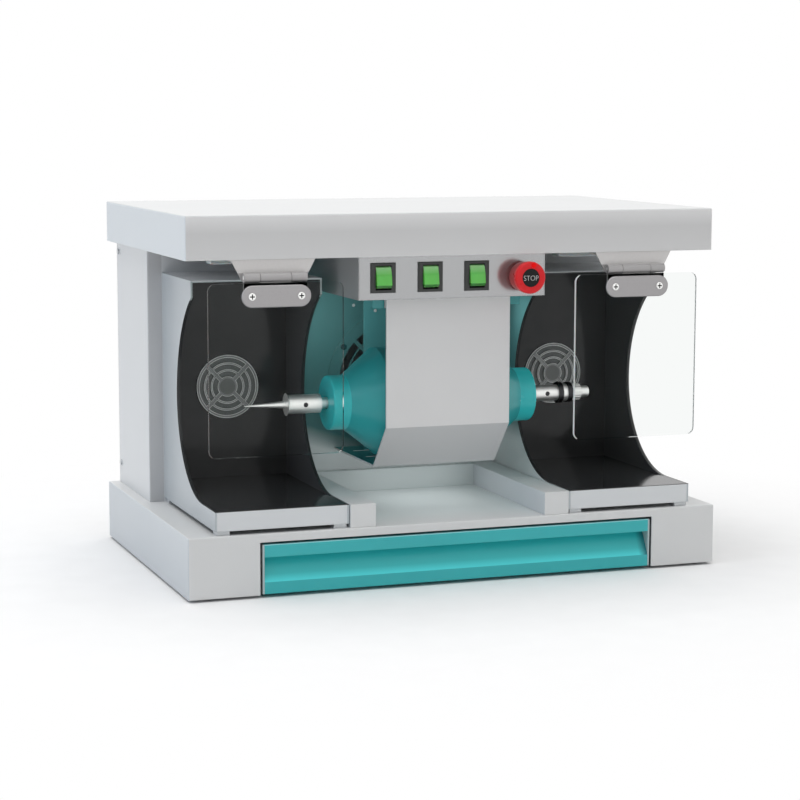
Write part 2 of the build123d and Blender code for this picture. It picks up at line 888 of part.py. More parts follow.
def motor_cover():
    """Sheet folded round the motor: front, slanted panel, slotted floor and a top flange."""
    half = cover_width / 2
    face = front + cover_setback
    bend = (face, deck + cover_bend_height)
    toe = (front + cover_floor_setback, cover_floor)
    far = (cabinet_front + sheet, control_bottom + sheet)
    outline = make_face(Polyline((face, far[1]), bend, toe, (far[0], toe[1]), far, close=True))
    hollow = offset(outline, -sheet, kind=Kind.INTERSECTION)
    skin = extrude(Plane.YZ.offset(-half) * (outline - hollow), cover_width)
    cover = skin & block((-half, half), (face, cabinet_front), (toe[1], control_bottom))
    for y, z in (bend, toe):
        edge = cover.edges().filter_by(Axis.X).sort_by_distance(Vector(0, y, z))[0]
        cover = fillet(edge, cover_bend)
    tab_y = (face + sheet / 2, cover_screw_y() + cover_screw_inset)
    cover += block((-half, half), tab_y, (cover_flange_z(), control_bottom))
    ear_y = (face + cover_ear_setback, face + cover_ear_setback + sheet)
    ear_x = (half - 2 * sheet, half + cover_ear_width)
    ear = block(ear_x, ear_y, (control_bottom - cover_ear_drop, control_bottom))
    cover += ear
    cover += other_side(ear)
    flange = (cover_flange_z() - over, control_bottom + over)
    for x in cover_screw_x():
        cover -= rod_z(x, cover_screw_y(), flange, screw_radius)
    through = (cover_floor - over, cover_floor + sheet + over)
    for row in range(cover_slot_rows):
        y = front + cover_slot_first + row * cover_slot_pitch
        outer = half - cover_slot_margin
        band = (y - cover_slot_width / 2, y + cover_slot_width / 2)
        slot = block((outer - cover_slot_length, outer), band, through)
        cover -= slot
        cover -= other_side(slot)
    for x, y in bolt_places():
        cover -= rod_z(x, y, through, bolt_radius)
    return cover


def pedestal_span():
    """Front and back of the pedestal's foot on the cover's floor."""
    start = front + cover_floor_setback + pedestal_margin
    return (start, start + pedestal_depth)


def bolt_places():
    """Centres of the four bolts that hold the pedestal."""
    x = pedestal_half - bolt_inset
    y = pedestal_span()
    return [(side * x, end) for side in (-1, 1) for end in (y[0] + bolt_setback, y[1] - bolt_setback)]


def motor_pedestal():
    """Foot on the cover's floor, a web that the motor housing lies in, and a plate behind the motor."""
    low = cover_floor + sheet
    foot_y = pedestal_span()
    foot = block((-pedestal_half, pedestal_half), foot_y, (low, low + pedestal_foot))
    web_y = (foot_y[0], foot_y[0] + pedestal_web_depth)
    web = block((-pedestal_web_half, pedestal_web_half), web_y, (low, spindle_z - motor_radius / 2))
    back_y = (foot_y[1] - pedestal_back_sheet, foot_y[1])
    back_x = (-pedestal_back_half, pedestal_back_half)
    pedestal = foot + web + block(back_x, back_y, (low, control_bottom - free_gap))
    pedestal -= rod_x((-motor_half, motor_half), spindle_y, spindle_z, motor_radius + seat_gap)
    for x, y in bolt_places():
        pedestal -= rod_z(x, y, (low - over, low + pedestal_foot), bolt_radius)
    return pedestal


def motor_bolts():
    """Hexagon bolts from under the cover's floor up into the pedestal's foot."""
    top = cover_floor + sheet + pedestal_foot
    bolts = []
    for x, y in bolt_places():
        hexagon = Pos(x, y, cover_floor - bolt_head_height) * RegularPolygon(bolt_head_radius, 6)
        head = extrude(hexagon, bolt_head_height)
        bolts.append(head + rod_z(x, y, (cover_floor, top), bolt_radius - seat_gap))
    return bolts


def motor_housing():
    return tube((-motor_half, motor_half), motor_radius - motor_wall, motor_radius)


def end_bell():
    """Cone from the motor housing to the nose that holds the bearing."""
    hole = shaft_radius + shaft_hole_gap
    seat = nose_end - nose_front
    bearing = seat - bearing_width
    inner = nose_radius - bell_wall
    cone_end = (nose_start, nose_radius)
    tip = (nose_end, nose_radius)
    outside = [(motor_half, motor_radius), (motor_half + bell_rim, motor_radius), cone_end, tip]
    front_wall = [(nose_end, hole), (seat, hole)]
    bearing_seat = [(seat, bearing_radius), (bearing, bearing_radius), (bearing, inner)]
    mouth = motor_radius - bell_wall
    inside = [(nose_start - bell_rim / 2, inner), (motor_half + bell_rim / 2, mouth), (motor_half, mouth)]
    return turned(outside + front_wall + bearing_seat + inside, [cone_end, tip], nose_round)


def bearing():
    seat = nose_end - nose_front
    return tube((seat - bearing_width, seat), shaft_seat_radius + running_gap, bearing_radius - seat_gap)


def stator_core():
    return tube((-stator_half, stator_half), stator_bore, motor_radius - motor_wall - seat_gap)


def stator_winding():
    outer = motor_radius - motor_wall - winding_gap
    return tube((stator_half, stator_half + winding_length), winding_bore, outer)


def run_capacitor():
    """Motor capacitor, which stands on the deck inside the cabinet."""
    y = cabinet_back - capacitor_inset
    top = deck + capacitor_height
    can = rod_z(capacitor_x, y, (deck, top), capacitor_radius)
    can = fillet(can.edges().group_by(Axis.Z)[-1], edge_round)
    tab_y = (y - capacitor_tab / 2, y + capacitor_tab / 2)
    tab_z = (top - over, top + capacitor_tab)
    for side in (-1, 1):
        x = capacitor_x + side * capacitor_tab
        can += block((x - capacitor_tab_sheet / 2, x + capacitor_tab_sheet / 2), tab_y, tab_z)
    return can


# Spindle

def motor_shaft():
    tip = nose_end + shaft_neck + shaft_grip
    seat = nose_end - nose_front
    ends = [(tip, 0), (tip, shaft_radius), (seat, shaft_radius), (seat, shaft_seat_radius)]
    right = ends + [(shaft_core_half, shaft_seat_radius), (shaft_core_half, shaft_core_radius)]
    left = [(-x, r) for x, r in reversed(right)]
    return turned(right + left)


def rotor_core():
    return tube((-stator_half, stator_half), shaft_core_radius + seat_gap, rotor_radius)


def sleeve(radius, length):
    """Clamping sleeve on the right shaft end, with a hole for its set screw at the front."""
    start = nose_end + shaft_neck
    ring = tube((start, start + length), shaft_radius + seat_gap, radius)
    hole = (spindle_y - radius - over, spindle_y)
    return ring - rod_y(start + length / 2, hole, spindle_z, set_screw_radius + seat_gap)


def left_sleeve():
    end = nose_end + shaft_neck + left_sleeve_length
    rim = end + left_flange_length
    bore = shaft_radius + seat_gap
    flange = turned([(end, bore), (end, left_sleeve_radius), (rim, left_flange_radius), (rim, bore)])
    return other_side(sleeve(left_sleeve_radius, left_sleeve_length) + flange)


def taper_spindle():
    start = nose_end + shaft_neck + shaft_grip
    rim = nose_end + shaft_neck + left_sleeve_length + left_flange_length
    tip = rim + taper_length
    tang = [(start, 0), (start, shaft_radius), (rim, shaft_radius), (rim, taper_radius)]
    return other_side(turned(tang + [(tip, taper_tip_radius), (tip, 0)]))


def set_screw(radius, length):
    middle = nose_end + shaft_neck + length / 2
    y = (spindle_y - radius + set_screw_sink, spindle_y - shaft_radius - seat_gap)
    return rod_y(middle, y, spindle_z, set_screw_radius)


def sleeve_set_screws():
    left = other_side(set_screw(left_sleeve_radius, left_sleeve_length))
    return [left, set_screw(right_sleeve_radius, right_sleeve_length)]


def arbor_stations():
    """Faces along the right arbor: sleeve end, washer, spacer, washer, nut and tip."""
    faces = [nose_end + shaft_neck + right_sleeve_length]
    for length in (inner_washer_length, spacer_length, outer_washer_length, nut_length, arbor_end):
        faces.append(faces[-1] + length)
    return faces


def right_arbor():
    faces = arbor_stations()
    start = nose_end + shaft_neck + shaft_grip
    tip = faces[-1]
    grip = [(start, 0), (start, shaft_radius), (faces[0], shaft_radius)]
    seat = [(faces[0], arbor_seat_radius), (faces[-2], arbor_seat_radius), (faces[-2], arbor_radius)]
    end = [(tip - arbor_chamfer, arbor_radius), (tip, arbor_radius - arbor_chamfer), (tip, 0)]
    return turned(grip + seat + end)


def arbor_ring(place, radius):
    """Ring on the arbor at one of its places, counted from the sleeve."""
    faces = arbor_stations()
    return tube((faces[place], faces[place + 1]), arbor_seat_radius + seat_gap, radius)


def arbor_washers():
    return [arbor_ring(0, inner_washer_radius), arbor_ring(2, outer_washer_radius)]


def arbor_nut():
    """Spacer between the washers, and the nut that clamps a wheel."""
    faces = arbor_stations()
    spacer = arbor_ring(1, spacer_radius)
    nut = arbor_ring(3, nut_radius)
    for notch in range(nut_notches):
        angle = radians(notch * 360 / nut_notches)
        y = spindle_y + nut_radius * cos(angle)
        z = spindle_z + nut_radius * sin(angle)
        nut -= rod_x((faces[3] - over, faces[4] + over), y, z, nut_notch / 2)
    return [spacer, nut]


# Shields and their hinges

def hinge_ends():
    """Spans of the two fixed end knuckles and of the moving middle one."""
    low = shield_centre - hinge_width / 2
    high = shield_centre + hinge_width / 2
    left = (low, low + hinge_end_knuckle)
    right = (high - hinge_end_knuckle, high)
    return left, right, (left[1] + free_gap, right[0] - free_gap)


def bracket_outline():
    """Front view of a bracket as a face."""
    tall = canopy_z - hinge_z + bracket_foot
    top = bracket_top_width / 2
    low = hinge_width / 2
    corners = [(-top, 0), (top, 0), (low, -tall), (-low, -tall)]
    return make_face(Polyline(*[(shield_centre + x, canopy_z + z) for x, z in corners], close=True))


def hinge_bracket():
    """Bracket folded from sheet: a front plate and a flange under the canopy, with the fixed knuckles."""
    face = hinge_y + hinge_knuckle_radius + free_gap
    bracket = extrude(Plane.XZ.offset(-face) * bracket_outline(), -hinge_plate)
    reach = bracket_top_width / 2 - hinge_plate
    flange_x = (shield_centre - reach, shield_centre + reach)
    bracket += block(flange_x, (face, face + bracket_depth), (canopy_z - hinge_plate, canopy_z))
    left, right, _ = hinge_ends()
    for x in (left, right):
        bracket += block(x, (hinge_y, face), (hinge_z - hinge_pin_radius, hinge_z + hinge_pin_radius))
        bracket += rod_x(x, hinge_y, hinge_z, hinge_knuckle_radius)
    through = (left[0] - over, right[1] + over)
    return bracket - rod_x(through, hinge_y, hinge_z, hinge_pin_radius + seat_gap)


def hinge_pin():
    left, right, _ = hinge_ends()
    return rod_x((left[0], right[1]), hinge_y, hinge_z, hinge_pin_radius)


def clamp_screw_x():
    return (shield_centre - clamp_screw_pitch / 2, shield_centre + clamp_screw_pitch / 2)


def drill_for_clamp(piece):
    through = (front - over, hinge_y + hinge_knuckle_radius + over)
    for x in clamp_screw_x():
        piece -= rod_y(x, through, clamp_z, clamp_screw_radius + seat_gap)
    return piece


def hinge_leaf():
    """Moving leaf: the middle knuckle and the plate behind the shield."""
    _, _, middle = hinge_ends()
    y = (shield_y[1], shield_y[1] + hinge_plate)
    low = clamp_z - leaf_lap
    shoulder = hinge_z - hinge_knuckle_radius - free_gap
    x = (shield_centre - hinge_width / 2, shield_centre + hinge_width / 2)
    leaf = block(x, y, (low, shoulder)) + block(middle, y, (low, hinge_z))
    leaf += rod_x(middle, hinge_y, hinge_z, hinge_knuckle_radius)
    leaf -= rod_x((x[0], x[1]), hinge_y, hinge_z, hinge_pin_radius + running_gap)
    return drill_for_clamp(leaf)


def shield_panel():
    top = canopy_z - shield_drop
    x = (shield_centre - shield_width / 2, shield_centre + shield_width / 2)
    panel = block(x, shield_y, (top - shield_tall, top))
    return drill_for_clamp(fillet(panel.edges().filter_by(Axis.Y), shield_corner))


def clamp_plate():
    y = (shield_y[0] - hinge_plate, shield_y[0])
    plan = Pos(shield_centre, clamp_z) * SlotOverall(clamp_width, clamp_tall)
    plate = extrude(Plane.XZ.offset(-y[1]) * plan, hinge_plate)
    plate = chamfer(plate.edges().group_by(Axis.Y)[0], clamp_bevel)
    return drill_for_clamp(plate)


def clamp_screws():
    seat = shield_y[0] - hinge_plate
    screws = []
    for x in clamp_screw_x():
        head = rod_y(x, (seat - clamp_head_height, seat), clamp_z, clamp_head_radius)
        head = fillet(head.edges().group_by(Axis.Y)[0], clamp_head_height / 2)
        for turn in (0, 90):
            slot = Box(clamp_cross_length, 2 * clamp_cross_depth, clamp_cross_width)
            head -= Pos(x, seat - clamp_head_height, clamp_z) * Rot(0, turn, 0) * slot
        screws.append(head + rod_y(x, (seat, shield_y[1] + hinge_plate), clamp_z, clamp_screw_radius))
    return screws


# Tray between the hoods

def channel(x, y):
    """Rail folded from sheet, open underneath."""
    z = (deck, deck + rail_height)
    rail = block(x, y, z)
    rail = fillet(rail.edges().group_by(Axis.Z)[-1], edge_round / 2)
    hollow_x = (x[0] + sheet, x[1] - sheet)
    hollow_y = (y[0] + sheet, y[1] - sheet)
    return rail - block(hollow_x, hollow_y, (z[0] - over, z[1] - sheet))


def tray_rails():
    outer = hood_x[0] - rail_gap
    inner = outer - rail_width
    side = channel((inner, outer), (front + rail_setback, cabinet_front))
    rear = channel((-inner, inner), (cabinet_front - rear_rail_depth, cabinet_front))
    return [side, other_side(side), rear]


def both(node, piece):
    """Save a piece of the right side and its mirror image on the left."""
    save(f"right_{node}", *piece)
    save(f"left_{node}", *[other_side(solid) for solid in piece])


save("base_shell", base_shell())
save("base_floor_plate", base_floor_plate())
save("rubber_feet", *rubber_feet())
save("drawer_guides", *drawer_guides())
save("drawer_front", drawer_front())
save("drawer_end_caps", *drawer_end_caps())
save("drawer_box", *drawer_box())
save("cabinet_shell", cabinet_shell())
save("vent_guard", vent_guard())
save("rear_cover", rear_cover())
save("panel_screws", *panel_screws())
save("power_inlet", power_inlet())
save("canopy_shell", canopy_shell())
save("canopy_base_plate", canopy_base_plate())
save("work_lamps", *work_lamps())
cheeks = hood_cheeks()
save("hood_cheeks", *cheeks, *[other_side(cheek) for cheek in cheeks])
wrap = hood_wrap()
save("hood_wraps", wrap, other_side(wrap))
lining = hood_liner()
save("hood_liners", lining, other_side(lining))
grille = suction_grille()
save("suction_grilles", grille, other_side(grille))
frame = fan_frame()
save("fan_frames", frame, other_side(frame))
both("fan_impeller", [fan_impeller()])
save("dust_filters", *dust_filters())
save("control_box", control_box())
save("switch_frames", *[switch_frame(x) for x in switch_places()])
for name, x in zip(("left", "middle", "right"), switch_places()):
    save(f"{name}_rocker", rocker(x))
save("estop_body", *estop_body())
save("estop_plunger", estop_plunger())
save("estop_head", *estop_head())
save("motor_cover", motor_cover())
save("motor_pedestal", motor_pedestal())
save("motor_bolts", *motor_bolts())
save("motor_housing", motor_housing())
bell = end_bell()
save("end_bells", bell, other_side(bell))
bearing_ring = bearing()
save("motor_bearings", bearing_ring, other_side(bearing_ring))
save("run_capacitor", run_capacitor())
save("stator_core", stator_core())
winding = stator_winding()
save("stator_windings", winding, other_side(winding))
save("rotor_core", rotor_core())
save("motor_shaft", motor_shaft())
save("left_sleeve", left_sleeve())
save("taper_spindle", taper_spindle())
save("right_sleeve", sleeve(right_sleeve_radius, right_sleeve_length))
save("right_arbor", right_arbor())
save("arbor_washers", *arbor_washers())
save("arbor_nut", *arbor_nut())
save("sleeve_set_screws", *sleeve_set_screws())
bracket = hinge_bracket()
save("hinge_brackets", bracket, other_side(bracket))
pin = hinge_pin()
save("hinge_pins", pin, other_side(pin))
both("hinge_leaf", [hinge_leaf()])
both("shield_panel", [shield_panel()])
both("clamp_plate", [clamp_plate()])
both("clamp_screws", clamp_screws())
save("tray_rails", *tray_rails())
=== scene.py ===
# %% [markdown]
# # A laboratory polishing machine in a white studio
#
# The machine is already built as solids: every sheet, shaft, switch and screw is in the frame that this
# script loads. What is left for Blender is what the eye reads before it reads the shape: paint, gloss,
# clear plastic, turned metal, and the small trim that is too fine for the solids. The solids stay where
# they are, and each of them gets a finish. New pieces are modelled around them and ride on their bodies.

# %% Load the frame
import json
import math
from collections import Counter

import bpy
from mathutils import Matrix, Vector


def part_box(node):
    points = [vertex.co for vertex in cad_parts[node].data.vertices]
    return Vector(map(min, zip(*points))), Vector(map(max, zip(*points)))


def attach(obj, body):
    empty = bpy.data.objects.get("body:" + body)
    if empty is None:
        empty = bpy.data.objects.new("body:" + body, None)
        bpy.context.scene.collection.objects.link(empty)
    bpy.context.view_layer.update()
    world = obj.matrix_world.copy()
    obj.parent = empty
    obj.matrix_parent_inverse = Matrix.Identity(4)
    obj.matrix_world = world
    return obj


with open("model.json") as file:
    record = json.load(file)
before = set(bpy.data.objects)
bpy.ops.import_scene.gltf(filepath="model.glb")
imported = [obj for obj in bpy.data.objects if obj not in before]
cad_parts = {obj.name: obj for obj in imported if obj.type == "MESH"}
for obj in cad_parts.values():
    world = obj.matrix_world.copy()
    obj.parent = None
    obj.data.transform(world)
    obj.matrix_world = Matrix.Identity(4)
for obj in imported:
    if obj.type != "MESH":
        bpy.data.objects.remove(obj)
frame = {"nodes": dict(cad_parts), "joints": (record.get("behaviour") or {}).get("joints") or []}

nodes = frame["nodes"]
joints = {joint["name"]: joint for joint in frame["joints"]}
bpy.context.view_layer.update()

# %% [markdown]
# ## Helpers for every material
#
# Colours are written as sRGB hex, the way a colour picker shows them, but shaders count in linear light,
# so one function turns the one into the other. Another adds a node and feeds its inputs: an input that is
# given a node or a socket gets a link, and any other input gets the value itself. Object coordinates are
# in metres, so a pattern that repeats every few millimetres needs a large scale.

# %% Colour, scale and node helpers
def linear(code):
    """Linear colour of an sRGB hex value."""
    shares = [int(code[start:start + 2], 16) / 255 for start in (1, 3, 5)]
    light = [share / 12.92 if share <= 0.04045 else ((share + 0.055) / 1.055) ** 2.4 for share in shares]
    return (*light, 1.0)


def per(millimetres):
    """Texture scale of a pattern with features this far apart."""
    return 1000 / millimetres


def feed(node, inputs):
    """Set or link a node's inputs, by their names or their places."""
    for key, value in inputs.items():
        if isinstance(value, bpy.types.Node):
            value = next(socket for socket in value.outputs if socket.enabled)
        if isinstance(value, bpy.types.NodeSocket):
            node.id_data.links.new(value, node.inputs[key])
        else:
            node.inputs[key].default_value = value


def add(tree, kind, inputs, **settings):
    """Add a node with its settings and its inputs."""
    node = tree.nodes.new("ShaderNode" + kind)
    for key, value in settings.items():
        setattr(node, key, value)
    feed(node, inputs)
    return node


def shader_of(material):
    """A material's main shader."""
    return material.node_tree.nodes["Principled BSDF"]


def blank(name):
    """A new material: itself, its node tree, its shader and the object coordinates."""
    material = bpy.data.materials.new(name)
    material.use_nodes = True
    tree = material.node_tree
    place = add(tree, "TexCoord", {}).outputs["Object"]
    return material, tree, shader_of(material), place


print("white is", linear("#ffffff")[0], "and mid grey is", round(linear("#808080")[0], 3))

# %% [markdown]
# ## The camera
#
# The picture was taken from the left, a little above the machine, from far away with a long lens: the
# edges that run back hardly converge. Place, turn and lens were worked out from the straight edges of the
# machine, so the camera is set by numbers. Aiming it by eye would be quicker and would not line up.

# %% Camera
camera_place = (-0.857, -2.356, 0.509)
camera_lens = 99.05
camera_yaw = math.radians(19.93)
camera_pitch = math.radians(7.58)
camera_roll = math.radians(0.14)

turn = Matrix.Rotation(-camera_yaw, 4, "Z") @ Matrix.Rotation(math.pi / 2 - camera_pitch, 4, "X")
bpy.ops.object.camera_add()
camera = bpy.context.object
camera.matrix_world = Matrix.Translation(camera_place) @ turn @ Matrix.Rotation(camera_roll, 4, "Z")
camera.data.lens = camera_lens
bpy.context.scene.camera = camera
bpy.context.scene.view_settings.view_transform = "Standard"
print("camera stands", round(Vector(camera_place).length, 2), "m away")

# %% [markdown]
# ## Studio light
#
# On the machine the top is brightest, the left side comes next and the front is a calm grey. That is the
# look of a light tent: a dome that is brighter overhead than at the horizon, and large soft boxes on top,
# on the left, in front and, weaker, on the right. Three very small lamps are hidden inside, two beside the
# motor and one under its cover, as a photographer would lift dark corners. To the camera, to mirrors and to
# clear plastic the world is plain white, which the Light Path node can tell apart from the light on matt
# surfaces.

# %% World and soft boxes
dome_low = 0.04
dome_rise = 0.96


def soft_box(name, place, aim, width, watts, colour):
    """A square lamp that faces a point."""
    bpy.ops.object.light_add(type="AREA", location=place)
    lamp = bpy.context.object
    lamp.name = name
    lamp.rotation_euler = (Vector(aim) - Vector(place)).to_track_quat("-Z", "Y").to_euler()
    lamp.data.size = width
    lamp.data.energy = watts
    lamp.data.color = linear(colour)[:3]
    lamp.visible_camera = False
    lamp.visible_glossy = width > 1
    print(name, watts, "W over", width, "m")


def seen_directly(tree):
    """1 for the camera and for what it sees in mirrors and through clear plastic."""
    path = add(tree, "LightPath", {}).outputs
    seen = path["Is Camera Ray"]
    for way in ("Is Glossy Ray", "Is Transmission Ray"):
        seen = add(tree, "Math", {0: seen, 1: path[way]}, operation="MAXIMUM")
    return seen


world = bpy.data.worlds.new("studio_white")
bpy.context.scene.world = world
world.use_nodes = True
sky = world.node_tree
upwards = add(sky, "SeparateXYZ", {0: add(sky, "TexCoord", {}).outputs["Generated"]}).outputs["Z"]
dome = add(sky, "MapRange", {"Value": upwards, "To Min": dome_low, "To Max": dome_low + dome_rise})
level = add(sky, "Mix", {0: seen_directly(sky), 2: dome, 3: 1.0}, data_type="FLOAT")
feed(sky.nodes["Background"], {"Color": linear("#ffffff"), "Strength": level})

soft_box("top_box", (-0.3, 0.1, 2.4), (0, 0, 0.2), 2.2, 28, "#ffffff")
soft_box("left_box", (-2.6, -0.6, 1.0), (0, 0, 0.2), 1.6, 8, "#d2e5ff")
soft_box("front_box", (0.3, -2.6, 0.7), (0, 0, 0.2), 2.0, 4, "#ffffff")
soft_box("right_box", (2.6, -0.4, 0.6), (0, 0, 0.2), 1.6, 3, "#ffffff")
soft_box("left_bay_lamp", (-0.108, -0.045, 0.285), (-0.07, 0.032, 0.235), 0.03, 0.03, "#ffffff")
soft_box("right_bay_lamp", (0.085, -0.05, 0.285), (0.127, -0.075, 0.240), 0.03, 0.02, "#ffffff")
soft_box("tray_lamp", (0.01, -0.055, 0.1125), (0.01, -0.07, 0), 0.13, 0.038, "#ffffff")

# %% [markdown]
# ## The floor
#
# The floor only has to carry the shadow and stay white everywhere else. Near the machine it is a matt
# white sheet. Further out the camera, mirrors and clear plastic see a plain white glow in its place, so
# that floor and world meet without a line.

# %% Floor
floor_reach = 3.0
glow_start = 0.40
glow_end = 0.75

bpy.ops.object.select_all(action="DESELECT")
bpy.ops.mesh.primitive_circle_add(vertices=96, radius=floor_reach, fill_type="NGON")
floor = bpy.context.object
floor.name = "studio_floor"

paper, tree, shader, place = blank("white_backing_paper")
grit = add(tree, "TexNoise", {"Vector": place, "Scale": per(40), "Detail": 4.0})
tone = add(tree, "Mix", {0: grit, 6: linear("#f3f3f3"), 7: linear("#f9f9f9")}, data_type="RGBA")
feed(shader, {"Base Color": tone, "Roughness": 0.9})
reach = add(tree, "VectorMath", {0: place}, operation="LENGTH")
fade = add(tree, "MapRange", {"Value": reach, "From Min": glow_start, "From Max": glow_end})
shown = add(tree, "Math", {0: fade, 1: seen_directly(tree)}, operation="MULTIPLY")
glow = add(tree, "Emission", {"Color": linear("#ffffff"), "Strength": 1.0})
mixed = add(tree, "MixShader", {0: shown, 1: shader.outputs["BSDF"], 2: glow})
feed(tree.nodes["Material Output"], {"Surface": mixed})
floor.data.materials.append(paper)
print("floor", floor_reach * 2, "m across")

# %% [markdown]
# ## Powder-coated sheet steel
#
# The case is sheet steel with a baked polyester powder coat. Up close such a coat has a gentle orange
# peel, a satin gloss and hardly any colour change. A flat colour would look like paper, so the tone
# drifts by a hair over a hand's width, the gloss drifts too, and a low bump breaks the reflections. The
# folded edges of real sheet are never sharp: a Bevel node rounds the shading there.

# %% Powder coat
peel_width = 2.6        # the real peel is nearer 1 mm, which one pixel would swallow
drift_width = 110.0
fold_round = 0.0009


def powder_coat(name, deep, pale, gloss):
    """Baked powder coat between two tones."""
    material, tree, shader, place = blank(name)
    drift = add(tree, "TexNoise", {"Vector": place, "Scale": per(drift_width), "Detail": 3.0})
    tone = add(tree, "Mix", {0: drift, 6: linear(deep), 7: linear(pale)}, data_type="RGBA")
    peel = add(tree, "TexNoise", {"Vector": place, "Scale": per(peel_width), "Detail": 1.0})
    edge = add(tree, "Bevel", {"Radius": fold_round}, samples=4)
    bump = add(tree, "Bump", {"Height": peel, "Strength": 0.10, "Distance": 0.0002, "Normal": edge})
    sheen = add(tree, "MapRange", {"Value": drift, "To Min": gloss - 0.05, "To Max": gloss + 0.06})
    feed(shader, {"Base Color": tone, "Roughness": sheen, "IOR": 1.5, "Normal": bump})
    return material


white_coat = powder_coat("white_powder_coat", "#d4d4d4", "#dcdcdc", 0.36)
teal_coat = powder_coat("teal_powder_coat", "#30b0b4", "#38babd", 0.34)
print("coats:", white_coat.name, teal_coat.name)

# %% [markdown]
# ## Finding places on a surface
#
# Many of the sheets carry more than one tone. The tones could be painted on an image, which needs an
# unwrapped mesh. A mask needs none: it is a number that is 1 in the right place and 0 elsewhere. Object
# coordinates tell where a point lies on the machine and the surface normal tells which way it faces. An
# overlay then lays a second colour over the first where all its masks agree.

# %% Masks and overlays
forward = ("Y", -2, -0.5)


def within(tree, value, low, high):
    """1 where a value lies between two limits."""
    above = add(tree, "Math", {0: value, 1: low}, operation="GREATER_THAN")
    below = add(tree, "Math", {0: value, 1: high}, operation="LESS_THAN")
    return add(tree, "Math", {0: above, 1: below}, operation="MULTIPLY")


def along_of(material):
    """A material's sideways object coordinate, negative on the left."""
    tree = material.node_tree
    return add(tree, "SeparateXYZ", {0: tree.nodes["Texture Coordinate"].outputs["Object"]}).outputs["X"]


def spot_of(material):
    """A material's object coordinates: the distance to the middle, the depth and the height."""
    spot = along_of(material).node.outputs
    aside = add(material.node_tree, "Math", {0: spot["X"]}, operation="ABSOLUTE")
    return aside, spot["Y"], spot["Z"]


def right_of(material):
    """1 on the right half of the machine."""
    return within(material.node_tree, along_of(material), 0, 1)


def facing(material, axis, low, high):
    """1 where the surface normal's part along an axis lies between two limits."""
    tree = material.node_tree
    normal = add(tree, "SeparateXYZ", {0: add(tree, "NewGeometry", {}).outputs["True Normal"]}).outputs
    return within(tree, normal[axis], low, high)


def overlay(material, colour, *masks):
    """Lay a colour over a material's own where all the masks are 1."""
    tree = material.node_tree
    under = shader_of(material).inputs["Base Color"].links[0].from_socket
    share = masks[0]
    for mask in masks[1:]:
        share = add(tree, "Math", {0: share, 1: mask}, operation="MULTIPLY")
    tone = add(tree, "Mix", {0: share, 6: under, 7: colour}, data_type="RGBA")
    feed(shader_of(material), {"Base Color": tone})


print("masks by place, and by facing such as", forward)

# %% [markdown]
# ## The coat inside the motor bay
#
# Around the motor the sheets look teal: the wall behind it and the sides of the hoods that face it. That
# teal is painted light, the light that the teal motor throws back onto white sheet. Lower down the painted
# teal thins out to the white of the tray, along a line that falls towards the motor, as painted light from
# the tray. One coat does all of it. Its colour depends on the height and on being inside the bay, so the
# same sheet stays white where it leaves the bay. Where a hood's rim faces forward, the edge of the sheet is
# painted almost black. Just under the top, the rim of the left hood is painted lighter and that of the right
# hood
# darker: painted light and painted shade. The strip beside each hood lies in a corner and is painted greyer,
# as shade.

# %% Bay coat
bay_half = 0.1271
bay_painted_light_colours = ("#edf2f2", "#5c9293")
bay_heights = (0.090, 0.113)
bay_tilt = 0.33
rim_sides = (0.1265, 0.2735)
rim_heights = (0.0925, 0.3050)
brow_heights = (0.3050, 0.3252)
brow_lit_and_shaded_colours = ("#a3afaf", "#4b4f4f")
not_sideways = ("X", -0.5, 0.5)


def bay_coat(name, deep, pale):
    """White coat with black rims and painted light: teal in the bay, a lit and a shaded brow, shade beside
    them.
    """
    material = powder_coat(name, deep, pale, 0.30)
    tree = material.node_tree
    aside, depth, height = spot_of(material)
    fall = add(tree, "Math", {0: aside, 1: bay_tilt}, operation="MULTIPLY")
    level = add(tree, "Math", {0: height, 1: fall}, operation="SUBTRACT")
    rise = add(tree, "MapRange", {"Value": level, "From Min": bay_heights[0], "From Max": bay_heights[1]})
    # Painted light: teal thrown back by the motor, thinning to white lower down.
    low, high = [linear(code) for code in bay_painted_light_colours]
    teal = add(tree, "Mix", {0: rise, 6: low, 7: high}, data_type="RGBA")
    overlay(material, teal, within(tree, aside, -1, bay_half))
    # Painted light on the left hood's brow, painted shade on the right one.
    left, right = [linear(code) for code in brow_lit_and_shaded_colours]
    brow = add(tree, "Mix", {0: right_of(material), 6: left, 7: right}, data_type="RGBA")
    rim = (within(tree, aside, *rim_sides), facing(material, *not_sideways), within(tree, depth, -1, 0))
    for heights, colour in ((rim_heights, linear("#28292a")), (brow_heights, brow)):
        overlay(material, colour, *rim, within(tree, height, *heights))
    # Painted shade on the strip in the corner beside each hood.
    strip = within(tree, aside, rim_sides[1], 1)
    overlay(material, linear("#c0c1c3"), strip, facing(material, *forward))
    return material


bay_paint = bay_coat("bay_powder_coat", "#d5d8da", "#dde0e2")
# A darker copy of the coat on the hoods' cheeks: painted shade under the canopy.
shaded_hood_paint = bay_coat("hood_powder_coat", "#b8bfc3", "#c0c7cb")
print("bay coats:", bay_paint.name, shaded_hood_paint.name)

# %% [markdown]
# ## The motor cover's coat
#
# The cover is one folded sheet, white in front. Its floor and the two ears at its sides are painted teal
# like the bay, as the light that the motor throws back, and the face that slants back to the floor looks
# down and is painted duller, as shade. The distance from the middle finds the ears, and the normal tells
# floor and slant apart.

# %% Cover coat
ear_start = 0.0717
flat_floor = ("Z", 0.9, 2)
slanted_down = ("Z", -0.9, -0.1)

cover_paint = powder_coat("cover_powder_coat", "#dadada", "#e2e2e2", 0.34)
aside, _, _ = spot_of(cover_paint)
ears = within(cover_paint.node_tree, aside, ear_start, 1)
